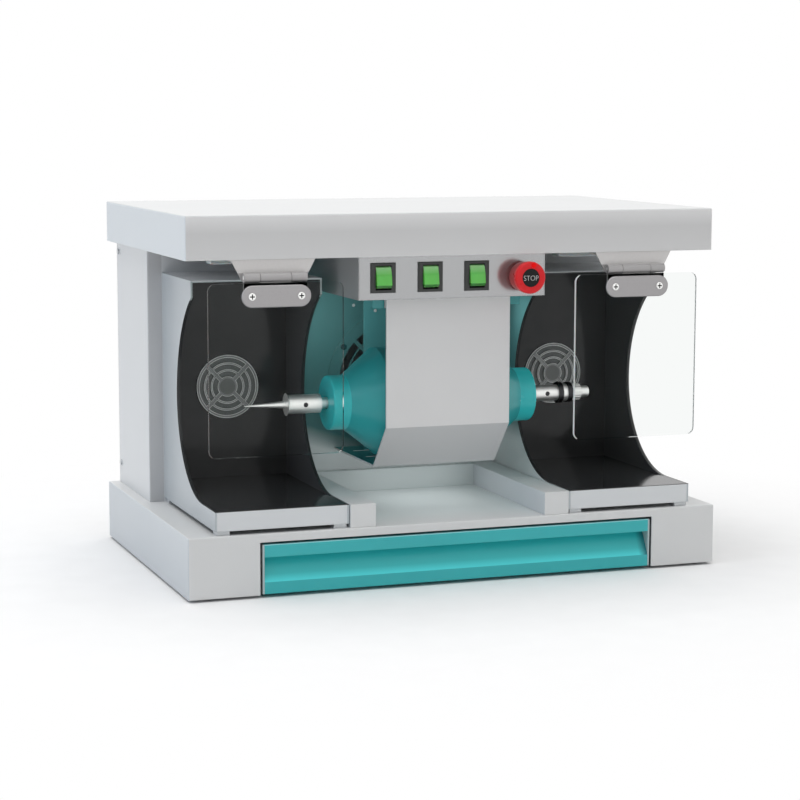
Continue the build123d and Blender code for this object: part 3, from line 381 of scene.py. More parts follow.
# Painted teal light on the ears and the floor.
for mask in (ears, facing(cover_paint, *flat_floor)):
    overlay(cover_paint, linear("#3b9496"), mask)
# Painted shade on the face that slants down.
overlay(cover_paint, linear("#c3c4c5"), facing(cover_paint, *slanted_down))
print("cover coat:", cover_paint.name)

# %% [markdown]
# ## Faint tones on the canopy and the base
#
# Soft light never leaves a large face in one tone. The canopy's front is palest along its top and darkest
# at its waist, and its left side is cooler. The base has a breath of teal where the bay is mirrored in its
# tray, and its left side darkens downwards. More lamps could give these changes, but each lamp would light
# other faces too. The changes are faint, so they are laid into the coats instead.

# %% Canopy and base coats
leftward = ("X", -2, -0.5)
upward = ("Z", 0.5, 2)
canopy_waist = 0.3805
tray_fade = (-0.185, -0.130)
tray_low = 0.0665

canopy_low, canopy_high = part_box("canopy_shell")
canopy_paint = powder_coat("canopy_powder_coat", "#cfcfcf", "#d5d5d5", 0.36)
tree = canopy_paint.node_tree
_, _, height = spot_of(canopy_paint)
for end, colour in ((canopy_high.z, "#eaeaea"), (canopy_low.z, "#d9d9d9")):
    fade = add(tree, "MapRange", {"Value": height, "From Min": canopy_waist, "From Max": end})
    overlay(canopy_paint, linear(colour), fade, facing(canopy_paint, *forward))
overlay(canopy_paint, linear("#dee4e8"), facing(canopy_paint, *leftward))
overlay(canopy_paint, linear("#d6d7d7"), facing(canopy_paint, *upward))

base_paint = powder_coat("base_powder_coat", "#d7d8d8", "#dfe0e0", 0.36)
tree = base_paint.node_tree
aside, depth, height = spot_of(base_paint)
back = add(tree, "MapRange", {"Value": depth, "From Min": tray_fade[0], "From Max": tray_fade[1]})
middle = within(tree, aside, -1, bay_half)
raised = within(tree, height, tray_low, 1)
overlay(base_paint, linear("#d6dede"), back, middle, raised)
sink = add(tree, "MapRange", {"Value": height, "From Min": tray_low, "From Max": 0})
side = add(tree, "Mix", {0: sink, 6: linear("#ced4d8"), 7: linear("#c3c9ce")}, data_type="RGBA")
overlay(base_paint, side, facing(base_paint, *leftward))
print("faint tones:", canopy_paint.name, base_paint.name)

# %% [markdown]
# ## The drawer's finger pull
#
# The drawer front is teal, with a sunk pull that slopes out below. The slope looks up into the light and is
# brightest along its lip, and it falls into shade at its right end. The top edge of the front is a thin
# pale line. Rounder edges in the mesh could catch such light, but the solids stay as they are, so these
# tones are laid into the coat.

# %% Drawer tones
slope_facing = ("Z", 0.2, 0.9)
lip_rises = (0.020, 0.0135)
end_insets = (0.010, 0.002)
top_edge_depth = 0.006
top_edge_height = 0.0009

drawer_low, drawer_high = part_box("drawer_front")
tree = teal_coat.node_tree
_, depth, height = spot_of(teal_coat)
slope = facing(teal_coat, *slope_facing)
overlay(teal_coat, linear("#34c0c2"), slope)
lip = [drawer_low.z + rise for rise in lip_rises]
end = [drawer_high.x - inset for inset in end_insets]
for value, (start, stop), colour in ((height, lip, "#4adade"), (along_of(teal_coat), end, "#1d7f86")):
    fade = add(tree, "MapRange", {"Value": value, "From Min": start, "From Max": stop})
    overlay(teal_coat, linear(colour), slope, fade)
front = within(tree, depth, -1, drawer_low.y + top_edge_depth)
top = within(tree, height, drawer_high.z - top_edge_height, 1)
overlay(teal_coat, linear("#96dfe2"), front, top)
print("pull's lip from", round(lip[1], 4), "to", round(lip[0], 4), "m")

# %% [markdown]
# ## Silver lacquer on the control box
#
# The control box is greyer than the case and it mirrors the red button beside it as a soft dark smear. That
# is a lacquer with metal flakes under a clear coat. It could be built from two shaders. One that is mostly
# metal and fairly smooth gives the same look, and it exports as it is. The sprayed flakes lie flat only on
# the front: the sides of the box look like plain grey paint.

# %% Silver lacquer
flake_share = 0.75

panel_coat = powder_coat("silver_flake_lacquer", "#a1a2a3", "#a9aaab", 0.17)
ahead = facing(panel_coat, *forward)
flakes = add(panel_coat.node_tree, "Math", {0: ahead, 1: flake_share}, operation="MULTIPLY")
feed(shader_of(panel_coat), {"Metallic": flakes})
print("lacquer:", panel_coat.name)

# %% [markdown]
# ## Stove enamel on the motor
#
# The motor castings carry a smooth stove enamel: the same teal, but glossier than powder coat, so that the
# bell noses show long highlights. Castings are never quite true under the paint, and a slow, low bump lets
# those highlights waver. The noses are painted a brighter teal: painted light, as they stand in the light
# while the body lies in shade. The plate behind the motor is enamelled too, in a greyer teal.

# %% Enamel
cast_wave = 16.0
nose_start = 0.0995


def stove_enamel(name, deep, pale):
    """Smooth enamel over a casting."""
    material, tree, shader, place = blank(name)
    drift = add(tree, "TexNoise", {"Vector": place, "Scale": per(45), "Detail": 4.0})
    tone = add(tree, "Mix", {0: drift, 6: linear(deep), 7: linear(pale)}, data_type="RGBA")
    wave = add(tree, "TexNoise", {"Vector": place, "Scale": per(cast_wave), "Detail": 2.0})
    edge = add(tree, "Bevel", {"Radius": fold_round}, samples=4)
    bump = add(tree, "Bump", {"Height": wave, "Strength": 0.06, "Distance": 0.001, "Normal": edge})
    sheen = add(tree, "MapRange", {"Value": drift, "To Min": 0.20, "To Max": 0.30})
    feed(shader, {"Base Color": tone, "Roughness": sheen, "Normal": bump})
    feed(shader, {"IOR": 1.52, "Specular IOR Level": 0.3})
    return material


motor_enamel = stove_enamel("teal_stove_enamel", "#2f989b", "#38a5a8")
aside, _, _ = spot_of(motor_enamel)
# Painted light: the noses are brighter than the body.
overlay(motor_enamel, linear("#37bdc0"), within(motor_enamel.node_tree, aside, nose_start, 1))
plate_enamel = stove_enamel("grey_teal_stove_enamel", "#5ba3a6", "#63abae")
print("enamels:", motor_enamel.name, plate_enamel.name)

# %% [markdown]
# ## Gloss-black lining
#
# The hoods are lined with black plastic sheet that wipes clean. It is close to a mirror: the back wall
# shows the mouth of the hood. Wiping leaves fine streaks and a film of dust, so the gloss is uneven and
# the black is a little greyer where dust stays. The side walls are painted greyer than the back wall:
# painted light, which an overlay on what faces left or right lays on.

# %% Black lining
rightward = ("X", 0.5, 2)


def gloss_sheet(name, deep, pale):
    """Extruded plastic sheet with wiping marks."""
    material, tree, shader, place = blank(name)
    streak = add(tree, "Mapping", {"Vector": place, "Scale": (per(60), per(60), per(7))})
    wiped = add(tree, "TexNoise", {"Vector": streak, "Scale": 1.0, "Detail": 5.0})
    dust = add(tree, "TexNoise", {"Vector": place, "Scale": per(30), "Detail": 6.0})
    tone = add(tree, "Mix", {0: dust, 6: linear(deep), 7: linear(pale)}, data_type="RGBA")
    sheen = add(tree, "MapRange", {"Value": wiped, "To Min": 0.06, "To Max": 0.16})
    feed(shader, {"Base Color": tone, "Roughness": sheen, "IOR": 1.46, "Specular IOR Level": 0.3})
    return material


black_lining = gloss_sheet("black_abs_sheet", "#2f3031", "#393a3b")
# Painted light on the side walls.
for way in (leftward, rightward):
    overlay(black_lining, linear("#505152"), facing(black_lining, *way))
print("lining:", black_lining.name)

# %% [markdown]
# ## Clear acrylic
#
# The shields are cast acrylic, polished on both faces. Real acrylic bends light with an index of 1.49 and
# is very slightly green in the sheet. It is a solid slab here, so light enters one face and leaves the
# other as it should. In a white room each face would mirror four percent of white over the black hoods,
# which shields with an anti-glare coat do not show, so the index is lowered until the veil is as thin as
# theirs. A few hairline scratches keep the sheet from looking like nothing at all. The face of the left
# edge of the right shield is painted white and not clear: a painted glow of the light that enters the
# sheet and leaves there.

# %% Acrylic
glow_edge_facing = ("X", -2, -0.3)


def acrylic(name):
    """Cast acrylic sheet with hairlines and one edge painted white, a painted glow."""
    material, tree, shader, place = blank(name)
    stretch = (per(50), 1, per(1.2))
    hair = add(tree, "Mapping", {"Vector": place, "Rotation": (0, 0.4, 0), "Scale": stretch})
    lines = add(tree, "TexNoise", {"Vector": hair, "Scale": 1.0, "Detail": 2.0})
    sheen = add(tree, "MapRange", {"Value": lines, "From Min": 0.55, "To Min": 0.0, "To Max": 0.06})
    # Painted glow: the left edge of the right shield is white, not clear.
    edge = facing(material, *glow_edge_facing)
    glow_edge_mask = add(tree, "Math", {0: edge, 1: right_of(material)}, operation="MULTIPLY")
    tone = add(tree, "Mix", {0: glow_edge_mask, 6: linear("#f7f9f8"), 7: linear("#e2e4e3")}, data_type="RGBA")
    clear = add(tree, "Math", {0: 1.0, 1: glow_edge_mask}, operation="SUBTRACT")
    feed(shader, {"Base Color": tone, "Roughness": sheen, "IOR": 1.08, "Transmission Weight": clear})
    return material


clear_acrylic = acrylic("clear_cast_acrylic")
print("acrylic:", clear_acrylic.name)

# %% [markdown]
# ## Moulded plastics
#
# Switches, grilles, fans and the stop button are injection moulded. The tool leaves a faint spark-eroded
# grain and the colour is dyed through, with slight flow marks. One recipe serves them all: what changes is
# the colour, the gloss and how far light sinks in.

# %% Moulded plastic
grain_width = 1.6       # real grain is a tenth of this and would not show
edge_round = 0.0005


def moulded(name, deep, pale, gloss, glow_depth=0.0):
    """Injection moulding with a fine grain. Light sinks in over glow_depth metres."""
    material, tree, shader, place = blank(name)
    flow = add(tree, "TexNoise", {"Vector": place, "Scale": per(12), "Detail": 3.0})
    tone = add(tree, "Mix", {0: flow, 6: linear(deep), 7: linear(pale)}, data_type="RGBA")
    grain = add(tree, "TexNoise", {"Vector": place, "Scale": per(grain_width), "Detail": 2.0})
    edge = add(tree, "Bevel", {"Radius": edge_round}, samples=4)
    bump = add(tree, "Bump", {"Height": grain, "Strength": 0.10, "Distance": 0.0001, "Normal": edge})
    sheen = add(tree, "MapRange", {"Value": flow, "To Min": gloss - 0.04, "To Max": gloss + 0.06})
    feed(shader, {"Base Color": tone, "Roughness": sheen, "IOR": 1.53, "Normal": bump})
    if glow_depth:
        feed(shader, {"Subsurface Weight": 0.35, "Subsurface Scale": glow_depth})
    return material


black_plastic = moulded("black_nylon", "#222423", "#2d2f2e", 0.42)
grille_plastic = moulded("grey_polypropylene", "#868988", "#929594", 0.36)
highlight_rim_plastic = moulded("polished_polypropylene", "#e2e5e4", "#eef0ef", 0.30)
rocker_plastic = moulded("green_polycarbonate", "#5cc94b", "#69d558", 0.20, 0.0015)
stop_plastic = moulded("red_polyamide", "#dd2a30", "#e63439", 0.28, 0.001)
# The collar's brighter red is painted light, where it lies in shade behind the head.
collar_glow_plastic = moulded("bright_red_polyamide", "#f5484c", "#fb5559", 0.30, 0.003)
pale_plastic = moulded("pale_polystyrene", "#aab9ba", "#b7c4c5", 0.40)
opal_plastic = moulded("frosted_polycarbonate", "#a8aeaf", "#b4babb", 0.35, 0.002)
print("plastics made:", black_plastic.name, grille_plastic.name, rocker_plastic.name)

# %% [markdown]
# ## Shading on the rockers
#
# A rocker's face is a shallow curve. Its upper end looks up into the light and its lower end turns away
# from it. The solid has flat facets there, so the change along the curve is laid into the colour, by height.

# %% Rocker shading
lit_rises = (0.60, 0.90)
lit_share = 0.45
shaded_rise = 0.13

rocker_low, rocker_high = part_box("left_rocker")
tree = rocker_plastic.node_tree
_, _, height = spot_of(rocker_plastic)
rise = add(tree, "MapRange", {"Value": height, "From Min": rocker_low.z, "From Max": rocker_high.z})
span = {"From Min": lit_rises[0], "From Max": lit_rises[1], "To Max": lit_share}
overlay(rocker_plastic, linear("#c9f5c0"), add(tree, "MapRange", {"Value": rise, **span}))
overlay(rocker_plastic, linear("#36822f"), within(tree, rise, -1, shaded_rise))
print("rockers from", round(rocker_low.z, 4), "to", round(rocker_high.z, 4), "m")

# %% [markdown]
# ## Tones of the stop button
#
# The head is a cap on a skirt. A small raised mark on the cap is the brightest red, and the skirt behind
# the cap is painted darker, as shade. The back of the head and the collar under it glow very faintly where
# no lamp reaches: painted light, given as emission, so that the gap between head and panel stays red.

# %% Stop button tones
mark_proud = 0.0006
skirt_start = 0.0075
backward = ("Y", 0.3, 2)
painted_glow_colour = linear("#e03a3a")
head_painted_glow = 0.15
collar_painted_glow = 0.12

head_low, head_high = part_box("estop_head")
tree = stop_plastic.node_tree
_, depth, _ = spot_of(stop_plastic)
overlay(stop_plastic, linear("#ff0408"), within(tree, depth, -1, head_low.y + mark_proud / 2))
# Painted shade on the skirt.
overlay(stop_plastic, linear("#b01c20"), within(tree, depth, head_low.y + skirt_start, 0))
# Painted glow, as emission, on the back of the head.
back_painted_glow = add(tree, "Math", {0: facing(stop_plastic, *backward), 1: head_painted_glow}, operation="MULTIPLY")
feed(shader_of(stop_plastic), {"Emission Color": painted_glow_colour, "Emission Strength": back_painted_glow})
feed(shader_of(stop_plastic), {"Specular IOR Level": 0.15})
# Painted glow, as emission, on the collar.
feed(shader_of(collar_glow_plastic), {"Emission Color": painted_glow_colour, "Emission Strength": collar_painted_glow})
print("stop head from", round(head_low.y, 4), "to", round(head_high.y, 4), "m")

# %% [markdown]
# ## Painted shade on the grille hubs
#
# The middle of each suction grille is a sunk disc, painted darker than the bars around it as the shade in
# its hollow. The two grilles mirror each other, so the distance to the middle of one of them, measured
# with the sideways distance made positive, finds both discs.

# %% Grille hub
hub_radius = 0.0090

grille_low, grille_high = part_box("suction_grilles")
grille_reach = (grille_high.z - grille_low.z) / 2
grille_middle = (grille_high.x - grille_reach, 0, (grille_low.z + grille_high.z) / 2)
tree = grille_plastic.node_tree
aside, _, height = spot_of(grille_plastic)
spot = add(tree, "CombineXYZ", {0: aside, 2: height})
from_hub = add(tree, "VectorMath", {0: spot, 1: grille_middle}, operation="DISTANCE")
# Painted shade on the sunk hub.
overlay(grille_plastic, linear("#666968"), within(tree, from_hub, -1, hub_radius))
print("grille hubs at", grille_middle)

# %% [markdown]
# ## Turned steel
#
# Spindle ends are turned on a lathe and left bright. The tool leaves rings: along a cylinder they follow
# the length, and on an end face they are circles. Adding the distance along the axis to the distance from
# it gives one number that runs across the rings on both, and a one-dimensional noise on it draws them.

# %% Turned steel
ring_width = 1.1        # real feed marks are 0.1 mm apart, drawn wider so that they show
turned_round = 0.0004
axis_place = joints["spindle_spin"]["pos_m"]


def turned(name, deep, pale, low, high):
    """Metal turned about the spindle axis, between two roughness values."""
    material, tree, shader, place = blank(name)
    centred = add(tree, "VectorMath", {0: place, 1: axis_place}, operation="SUBTRACT")
    flat = add(tree, "VectorMath", {0: centred, 1: (0, 1, 1)}, operation="MULTIPLY")
    away = add(tree, "VectorMath", {0: flat}, operation="LENGTH")
    across = add(tree, "Math", {0: along_of(material), 1: away}, operation="ADD")
    ripple = {"W": across, "Scale": per(ring_width), "Detail": 3.0}
    rings = add(tree, "TexNoise", ripple, noise_dimensions="1D")
    tone = add(tree, "Mix", {0: rings, 6: linear(deep), 7: linear(pale)}, data_type="RGBA")
    sheen = add(tree, "MapRange", {"Value": rings, "To Min": low, "To Max": high})
    edge = add(tree, "Bevel", {"Radius": turned_round}, samples=4)
    bump = add(tree, "Bump", {"Height": rings, "Strength": 0.12, "Distance": 0.0001, "Normal": edge})
    feed(shader, {"Base Color": tone, "Metallic": 1.0, "Roughness": sheen, "Normal": bump})
    return material


bright_steel = turned("bright_turned_steel", "#e6e6e4", "#f6f6f4", 0.36, 0.50)
black_oxide = turned("black_oxide_steel", "#2e2e30", "#4a4a4c", 0.26, 0.40)
print("steel turns about", axis_place)

# %% [markdown]
# ## Painted shade on the flange
#
# The left sleeve ends in a thin flange. It is painted dark above and below the axis, as shade, and stays
# bright in the middle. The flange is the outer end of that sleeve, so its place along the axis finds it.

# %% Painted shade on the flange
flange_thick = 0.0015
flange_bright_half_height = 0.0075

tree = bright_steel.node_tree
sleeve_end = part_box("left_sleeve")[0].x
_, _, height = spot_of(bright_steel)
above = add(tree, "Math", {0: height, 1: axis_place[2]}, operation="SUBTRACT")
outer = within(tree, add(tree, "Math", {0: above}, operation="ABSOLUTE"), flange_bright_half_height, 1)
flange = within(tree, along_of(bright_steel), sleeve_end, sleeve_end + flange_thick)
# Painted shade above and below the flange's bright middle.
overlay(bright_steel, linear("#4a4b4b"), flange, outer)
print("flange at", round(sleeve_end, 4), "m")

# %% [markdown]
# ## Satin metal and zinc plate
#
# The clamp plates and hinges are metal with a satin blast: matt, with a fine grain, and a little darker on
# the hinges' knuckles. Screws, drawer and guides are zinc plated, brighter and slightly blotched. All come
# from one recipe, a metal whose tone and gloss follow a noise as fine as the grain.

# %% Satin metal
knuckle_radius = 0.0045


def satin_metal(name, deep, pale, grain, low, high):
    """Metal with an even grain this many millimetres wide."""
    material, tree, shader, place = blank(name)
    speck = add(tree, "TexNoise", {"Vector": place, "Scale": per(grain), "Detail": 4.0})
    tone = add(tree, "Mix", {0: speck, 6: linear(deep), 7: linear(pale)}, data_type="RGBA")
    sheen = add(tree, "MapRange", {"Value": speck, "To Min": low, "To Max": high})
    edge = add(tree, "Bevel", {"Radius": edge_round}, samples=4)
    bump = add(tree, "Bump", {"Height": speck, "Strength": 0.15, "Distance": 0.0001, "Normal": edge})
    feed(shader, {"Base Color": tone, "Metallic": 1.0, "Roughness": sheen, "Normal": bump})
    return material


satin_cast = satin_metal("satin_cast_aluminium", "#989697", "#a8a6a7", 1.4, 0.42, 0.56)
bracket_sheet = satin_metal("blasted_zinc_sheet", "#c6c4c3", "#d2d0cf", 3.0, 0.45, 0.60)
feed(shader_of(bracket_sheet), {"Metallic": 0.6})
_, _, height = spot_of(bracket_sheet)
knuckle_top = joints["left_shield_swing"]["pos_m"][2] + knuckle_radius
overlay(bracket_sheet, linear("#a6a4a4"), within(bracket_sheet.node_tree, height, 0, knuckle_top))
zinc_plate = satin_metal("bright_zinc_plate", "#b9bcbf", "#cfd2d4", 6.0, 0.24, 0.40)
drawn_can = satin_metal("drawn_aluminium_can", "#b8babb", "#c9cbcc", 3.0, 0.28, 0.38)
laminations = satin_metal("varnished_laminations", "#4a4b4e", "#5c5d60", 0.8, 0.40, 0.60)
copper_wire = satin_metal("varnished_copper_wire", "#a55a32", "#c7794a", 1.2, 0.30, 0.45)
print("metals:", satin_cast.name, zinc_plate.name)

# %% [markdown]
# ## Nickel-plated screws
#
# The four screws on the clamp plates are the brightest metal on the machine, and the cross in each head is
# painted nearly black, as the shade in its deep recess. Both are one material: the solids have the cross
# already, so a place below the head's face and near a screw's axis is inside it.

# %% Screws
recess_radius = 0.0029
recess_start = 0.0002

nickel_plate = satin_metal("bright_nickel_plate", "#e6e6e4", "#f4f4f2", 2.0, 0.30, 0.42)
tree = nickel_plate.node_tree
screw_low, screw_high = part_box("right_clamp_screws")
head_radius = (screw_high.z - screw_low.z) / 2
half_pitch = (screw_high.x - screw_low.x) / 2 - head_radius
aside, depth, height = spot_of(nickel_plate)
from_middle = add(tree, "Math", {0: aside, 1: (screw_low.x + screw_high.x) / 2}, operation="SUBTRACT")
either_side = add(tree, "Math", {0: from_middle}, operation="ABSOLUTE")
along = add(tree, "Math", {0: either_side, 1: half_pitch}, operation="SUBTRACT")
above = add(tree, "Math", {0: height, 1: screw_low.z + head_radius}, operation="SUBTRACT")
from_axis = add(tree, "VectorMath", {0: add(tree, "CombineXYZ", {0: along, 1: above})}, operation="LENGTH")
near_axis = within(tree, from_axis, -1, recess_radius)
sunk = within(tree, depth, screw_low.y + recess_start, 0)
# Painted shade in the cross of each head.
overlay(nickel_plate, linear("#191919"), near_axis, sunk)
print("screws", round(2 * half_pitch, 4), "m apart")

# %% [markdown]
# ## Rubber and fleece
#
# Two soft finishes are left. The feet are black rubber, matt and faintly speckled. The dust filters are a
# grey fleece of tangled fibres, which a distorted noise suggests well enough behind the grilles.

# %% Rubber and fleece
def fibrous(name, deep, pale, fibre, rough):
    """Matt surface with specks or fibres this many millimetres wide."""
    material, tree, shader, place = blank(name)
    tangle = {"Vector": place, "Scale": per(fibre), "Detail": 6.0, "Distortion": 1.5}
    strand = add(tree, "TexNoise", tangle)
    tone = add(tree, "Mix", {0: strand, 6: linear(deep), 7: linear(pale)}, data_type="RGBA")
    bump = add(tree, "Bump", {"Height": strand, "Strength": 0.5, "Distance": 0.0004})
    feed(shader, {"Base Color": tone, "Roughness": rough, "Normal": bump})
    return material


foot_rubber = fibrous("black_nitrile_rubber", "#161616", "#242424", 1.5, 0.75)
filter_fleece = fibrous("grey_polyester_fleece", "#6a6d6c", "#8b8e8d", 2.2, 0.95)
print("soft finishes:", foot_rubber.name, filter_fleece.name)

# %% [markdown]
# ## Dressing the solids
#
# Every solid keeps its mesh and gets one of the finishes above. The table reads like a parts list: what
# the piece is made of, then the pieces. A node that is missing from it would keep a plain colour, so the
# cell counts them.

# %% Dress the nodes
finishes = {
    white_coat: ["canopy_base_plate", "rear_cover"],
    canopy_paint: ["canopy_shell"],
    base_paint: ["base_shell", "tray_rails"],
    panel_coat: ["control_box"],
    bay_paint: ["cabinet_shell", "hood_wraps", "vent_guard"],
    shaded_hood_paint: ["hood_cheeks"],
    cover_paint: ["motor_cover"],
    teal_coat: ["drawer_front"],
    motor_enamel: ["motor_housing", "end_bells"],
    plate_enamel: ["motor_pedestal"],
    pale_plastic: ["drawer_end_caps"],
    black_lining: ["hood_liners"],
    clear_acrylic: ["left_shield_panel", "right_shield_panel"],
    grille_plastic: ["suction_grilles"],
    black_plastic: ["power_inlet", "fan_frames", "switch_frames", "estop_plunger", "left_fan_impeller",
                    "right_fan_impeller"],
    rocker_plastic: ["left_rocker", "middle_rocker", "right_rocker"],
    stop_plastic: ["estop_head"],
    collar_glow_plastic: ["estop_body"],
    opal_plastic: ["work_lamps"],
    bright_steel: ["motor_bearings", "hinge_pins", "motor_shaft", "left_sleeve", "taper_spindle",
                   "right_sleeve", "right_arbor", "arbor_nut"],
    black_oxide: ["arbor_washers", "sleeve_set_screws"],
    bracket_sheet: ["hinge_brackets", "left_hinge_leaf", "right_hinge_leaf"],
    satin_cast: ["left_clamp_plate", "right_clamp_plate"],
    zinc_plate: ["base_floor_plate", "drawer_guides", "panel_screws", "motor_bolts", "drawer_box"],
    nickel_plate: ["left_clamp_screws", "right_clamp_screws"],
    drawn_can: ["run_capacitor"],
    laminations: ["stator_core", "rotor_core"],
    copper_wire: ["stator_windings"],
    foot_rubber: ["rubber_feet"],
    filter_fleece: ["dust_filters"],
}
for material, names in finishes.items():
    for name in names:
        for slot in nodes[name].material_slots:
            slot.material = material
print("dressed", sum(len(names) for names in finishes.values()), "of", len(nodes), "nodes")

# %% [markdown]
# ## Settling new pieces
#
# A new piece is finished when its place is in its mesh, it has its name and its material, and it rides on a
# body. One function does that for all of them.

# %% Settle a piece
def settle(piece, name, material, body):
    """Give a finished piece its place, name, material, slot and body."""
    bpy.ops.object.select_all(action="DESELECT")
    piece.select_set(True)
    bpy.context.view_layer.objects.active = piece
    bpy.ops.object.transform_apply(location=True, rotation=True, scale=True)
    piece.name = name
    piece.data.materials.clear()
    piece.data.materials.append(material)
    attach(piece, body)
    print(name, len(piece.data.polygons), "faces on", body)


# %% [markdown]
# ## Bright edges of grilles and shields
#
# Two pieces catch the light along their edges, and the beads that stand for it are painted light. The
# moulded grilles have rounded bars, whose highlights are a near-white bead: a painted highlight. The cut
# edge of a shield glows on its left, because light that enters the sheet leaves there: a painted glow,
# bright on the right shield and dim grey on the left one. Both follow edges that the solids already have, so
# a copy of the solid is merged, cut down to the rims of its forward faces and turned into a round bead.

# %% Beads along rims
merge_gap = 1e-6
flush_gap = 1e-5


def rim_bead(node, name, radius, kept):
    """Round bead along the rims of a node's forward faces, where kept(x) is true."""
    bead = bpy.data.objects.new(name, nodes[node].data.copy())
    bpy.context.scene.collection.objects.link(bead)
    bpy.ops.object.select_all(action="DESELECT")
    bead.select_set(True)
    bpy.context.view_layer.objects.active = bead
    bpy.ops.object.mode_set(mode="EDIT")
    bpy.ops.mesh.select_mode(type="EDGE")
    bpy.ops.mesh.select_all(action="SELECT")
    bpy.ops.mesh.remove_doubles(threshold=merge_gap)
    bpy.ops.mesh.select_all(action="DESELECT")
    bpy.ops.object.mode_set(mode="OBJECT")
    mesh = bead.data
    front = min(vertex.co.y for vertex in mesh.vertices) + flush_gap
    flush = [face for face in mesh.polygons if face.normal.y < -0.99 and face.center.y < front]
    uses = Counter(key for face in flush for key in face.edge_keys)
    for edge in mesh.edges:
        spot = (mesh.vertices[edge.vertices[0]].co + mesh.vertices[edge.vertices[1]].co) / 2
        edge.select = uses[edge.key] == 1 and kept(spot.x)
    bpy.ops.object.mode_set(mode="EDIT")
    bpy.ops.mesh.select_all(action="INVERT")
    bpy.ops.mesh.delete(type="EDGE")
    bpy.ops.object.mode_set(mode="OBJECT")
    bpy.ops.object.convert(target="CURVE")
    bpy.context.object.data.bevel_depth = radius
    bpy.context.object.data.bevel_resolution = 2
    bpy.ops.object.convert(target="MESH")
    return bpy.context.object


# The near-white bead is a painted highlight on the grille bars.
beads = rim_bead("suction_grilles", "grille_rims", 0.00045, lambda x: True)
settle(beads, "grille_rims", highlight_rim_plastic, "machine_case")

# %% Shield edges
edge_strip = 0.004

# Painted glow along the shields' left edges: bright on the right shield, dim on the left.
lit_edge = moulded("frosted_acrylic_edge", "#d4d7d6", "#e6e8e7", 0.5, 0.002)
dim_glow_edge = moulded("sawn_acrylic_edge", "#7d807f", "#929594", 0.6, 0.002)
for side, radius, edge_finish in (("left", 0.0002, dim_glow_edge), ("right", 0.0005, lit_edge)):
    strip_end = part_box(f"{side}_shield_panel")[0].x + edge_strip
    edging = rim_bead(f"{side}_shield_panel", "shield_edge", radius, lambda x: x < strip_end)
    settle(edging, f"{side}_shield_edge", edge_finish, f"{side}_shield")

# %% [markdown]
# ## The stop button's label
#
# The red head has a shallow seat for a round black label with the word STOP, which every such button
# carries. The label is a disc with a softened rim. The letters are cut from text, raised by a hair and made
# into a mesh, so that they ride on the head like any other piece.

# %% Label
label_radius = 0.0098
label_thick = 0.0005
label_gap = 0.00003
seat_depth = 0.0006

head_x = (head_low.x + head_high.x) / 2
head_z = (head_low.z + head_high.z) / 2
seat_y = head_low.y + mark_proud + seat_depth

bpy.ops.object.select_all(action="DESELECT")
bpy.ops.mesh.primitive_cylinder_add(vertices=96, radius=label_radius, depth=label_thick)
label = bpy.context.object
bpy.ops.object.mode_set(mode="EDIT")
bpy.ops.mesh.select_mode(type="EDGE")
bpy.ops.mesh.select_all(action="DESELECT")
bpy.ops.object.mode_set(mode="OBJECT")
for edge in label.data.edges:
    edge.select = all(label.data.vertices[index].co.z > 0 for index in edge.vertices)
bpy.ops.object.mode_set(mode="EDIT")
bpy.ops.mesh.bevel(offset=label_thick / 2, segments=3)
bpy.ops.object.mode_set(mode="OBJECT")
label.rotation_euler = (math.pi / 2, 0, 0)
label.location = (head_x, seat_y - label_thick / 2 - label_gap, head_z)
label_film = moulded("black_label_film", "#0c0d0d", "#151616", 0.50)
feed(shader_of(label_film), {"Specular IOR Level": 0.2})
settle(label, "stop_label", label_film, "stop_head")

# %% Letters
word_width = 0.0171
word_height = 0.0053
letter_height = 0.0001
letter_gap = 0.00012
letter_drop = 0.0006
stroke_thinning = -0.016

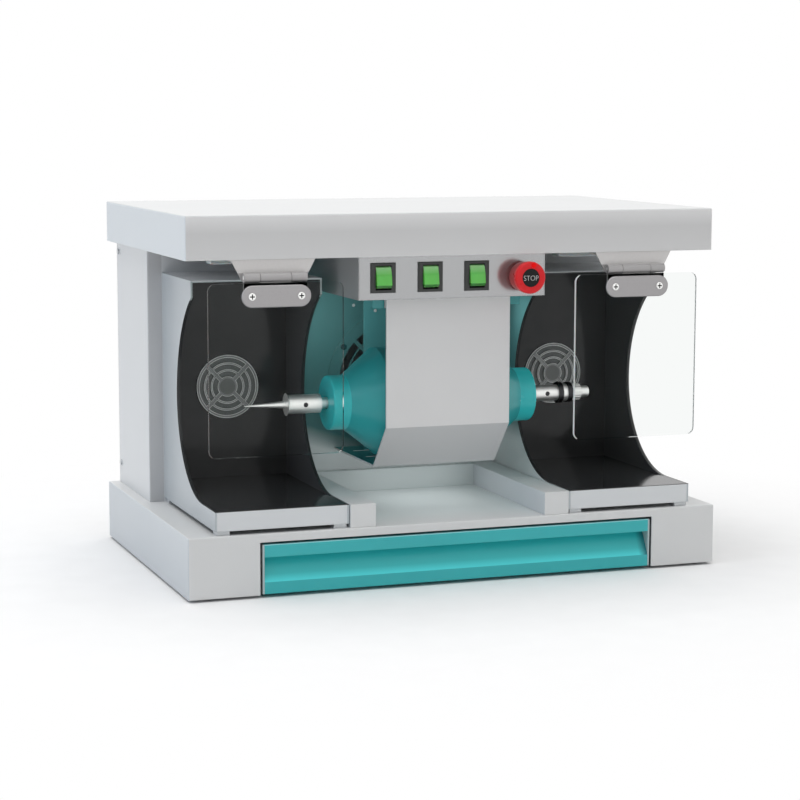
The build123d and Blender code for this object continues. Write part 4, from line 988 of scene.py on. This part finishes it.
bpy.ops.object.select_all(action="DESELECT")
bpy.ops.object.text_add()
letters = bpy.context.object
letters.data.body = "STOP"
letters.data.align_x = "CENTER"
letters.data.align_y = "CENTER"
letters.data.offset = stroke_thinning
bpy.context.view_layer.update()
letters.scale = (word_width / letters.dimensions.x, word_height / letters.dimensions.y, 1)
letters.data.extrude = letter_height
letters.rotation_euler = (math.pi / 2, 0, 0)
letters.location = (head_x, seat_y - label_thick - letter_gap, head_z - letter_drop)
bpy.ops.object.convert(target="MESH")
letter_ink = moulded("pale_label_ink", "#d9d7d6", "#e4e2e1", 0.5)
settle(bpy.context.object, "stop_letters", letter_ink, "stop_head")

# %% [markdown]
# ## Push rivets in the bay
#
# Two small white push rivets show between the control box and the motor: one in the back wall and one in
# the plate that carries the motor. A rivet has a flat round head with a soft rim. It starts as a cylinder,
# the front rim is bevelled and the front face is inset and pressed in, where the pin was driven. The second
# one is a copy with its own mesh.

# %% Rivets
rivet_radius = 0.0017
rivet_thick = 0.0010
wall_rivet_place = (-0.0484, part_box("cabinet_shell")[0].y, 0.2833)
plate_rivet_place = (-0.0319, 0.0035, 0.2792)

white_nylon = moulded("white_nylon", "#e3eeee", "#f2f7f7", 0.40)
bpy.ops.object.select_all(action="DESELECT")
bpy.ops.mesh.primitive_cylinder_add(vertices=24, radius=rivet_radius, depth=rivet_thick)
rivet = bpy.context.object
bpy.ops.object.mode_set(mode="EDIT")
bpy.ops.mesh.select_mode(type="FACE")
bpy.ops.mesh.select_all(action="DESELECT")
bpy.ops.object.mode_set(mode="OBJECT")
for face in rivet.data.polygons:
    face.select = face.normal.z > 0.9
bpy.ops.object.mode_set(mode="EDIT")
bpy.ops.mesh.bevel(offset=rivet_thick / 3, segments=3)
bpy.ops.mesh.inset(thickness=rivet_radius / 3)
bpy.ops.transform.translate(value=(0, 0, -rivet_thick / 4))
bpy.ops.object.mode_set(mode="OBJECT")
rivet.rotation_euler = (math.pi / 2, 0, 0)
second = rivet.copy()
second.data = rivet.data.copy()
bpy.context.scene.collection.objects.link(second)
rivets = ((rivet, "wall_rivet", wall_rivet_place), (second, "plate_rivet", plate_rivet_place))
for piece, name, spot in rivets:
    piece.location = Vector(spot) + Vector((0, -rivet_thick / 2, 0))
    settle(piece, name, white_nylon, "machine_case")
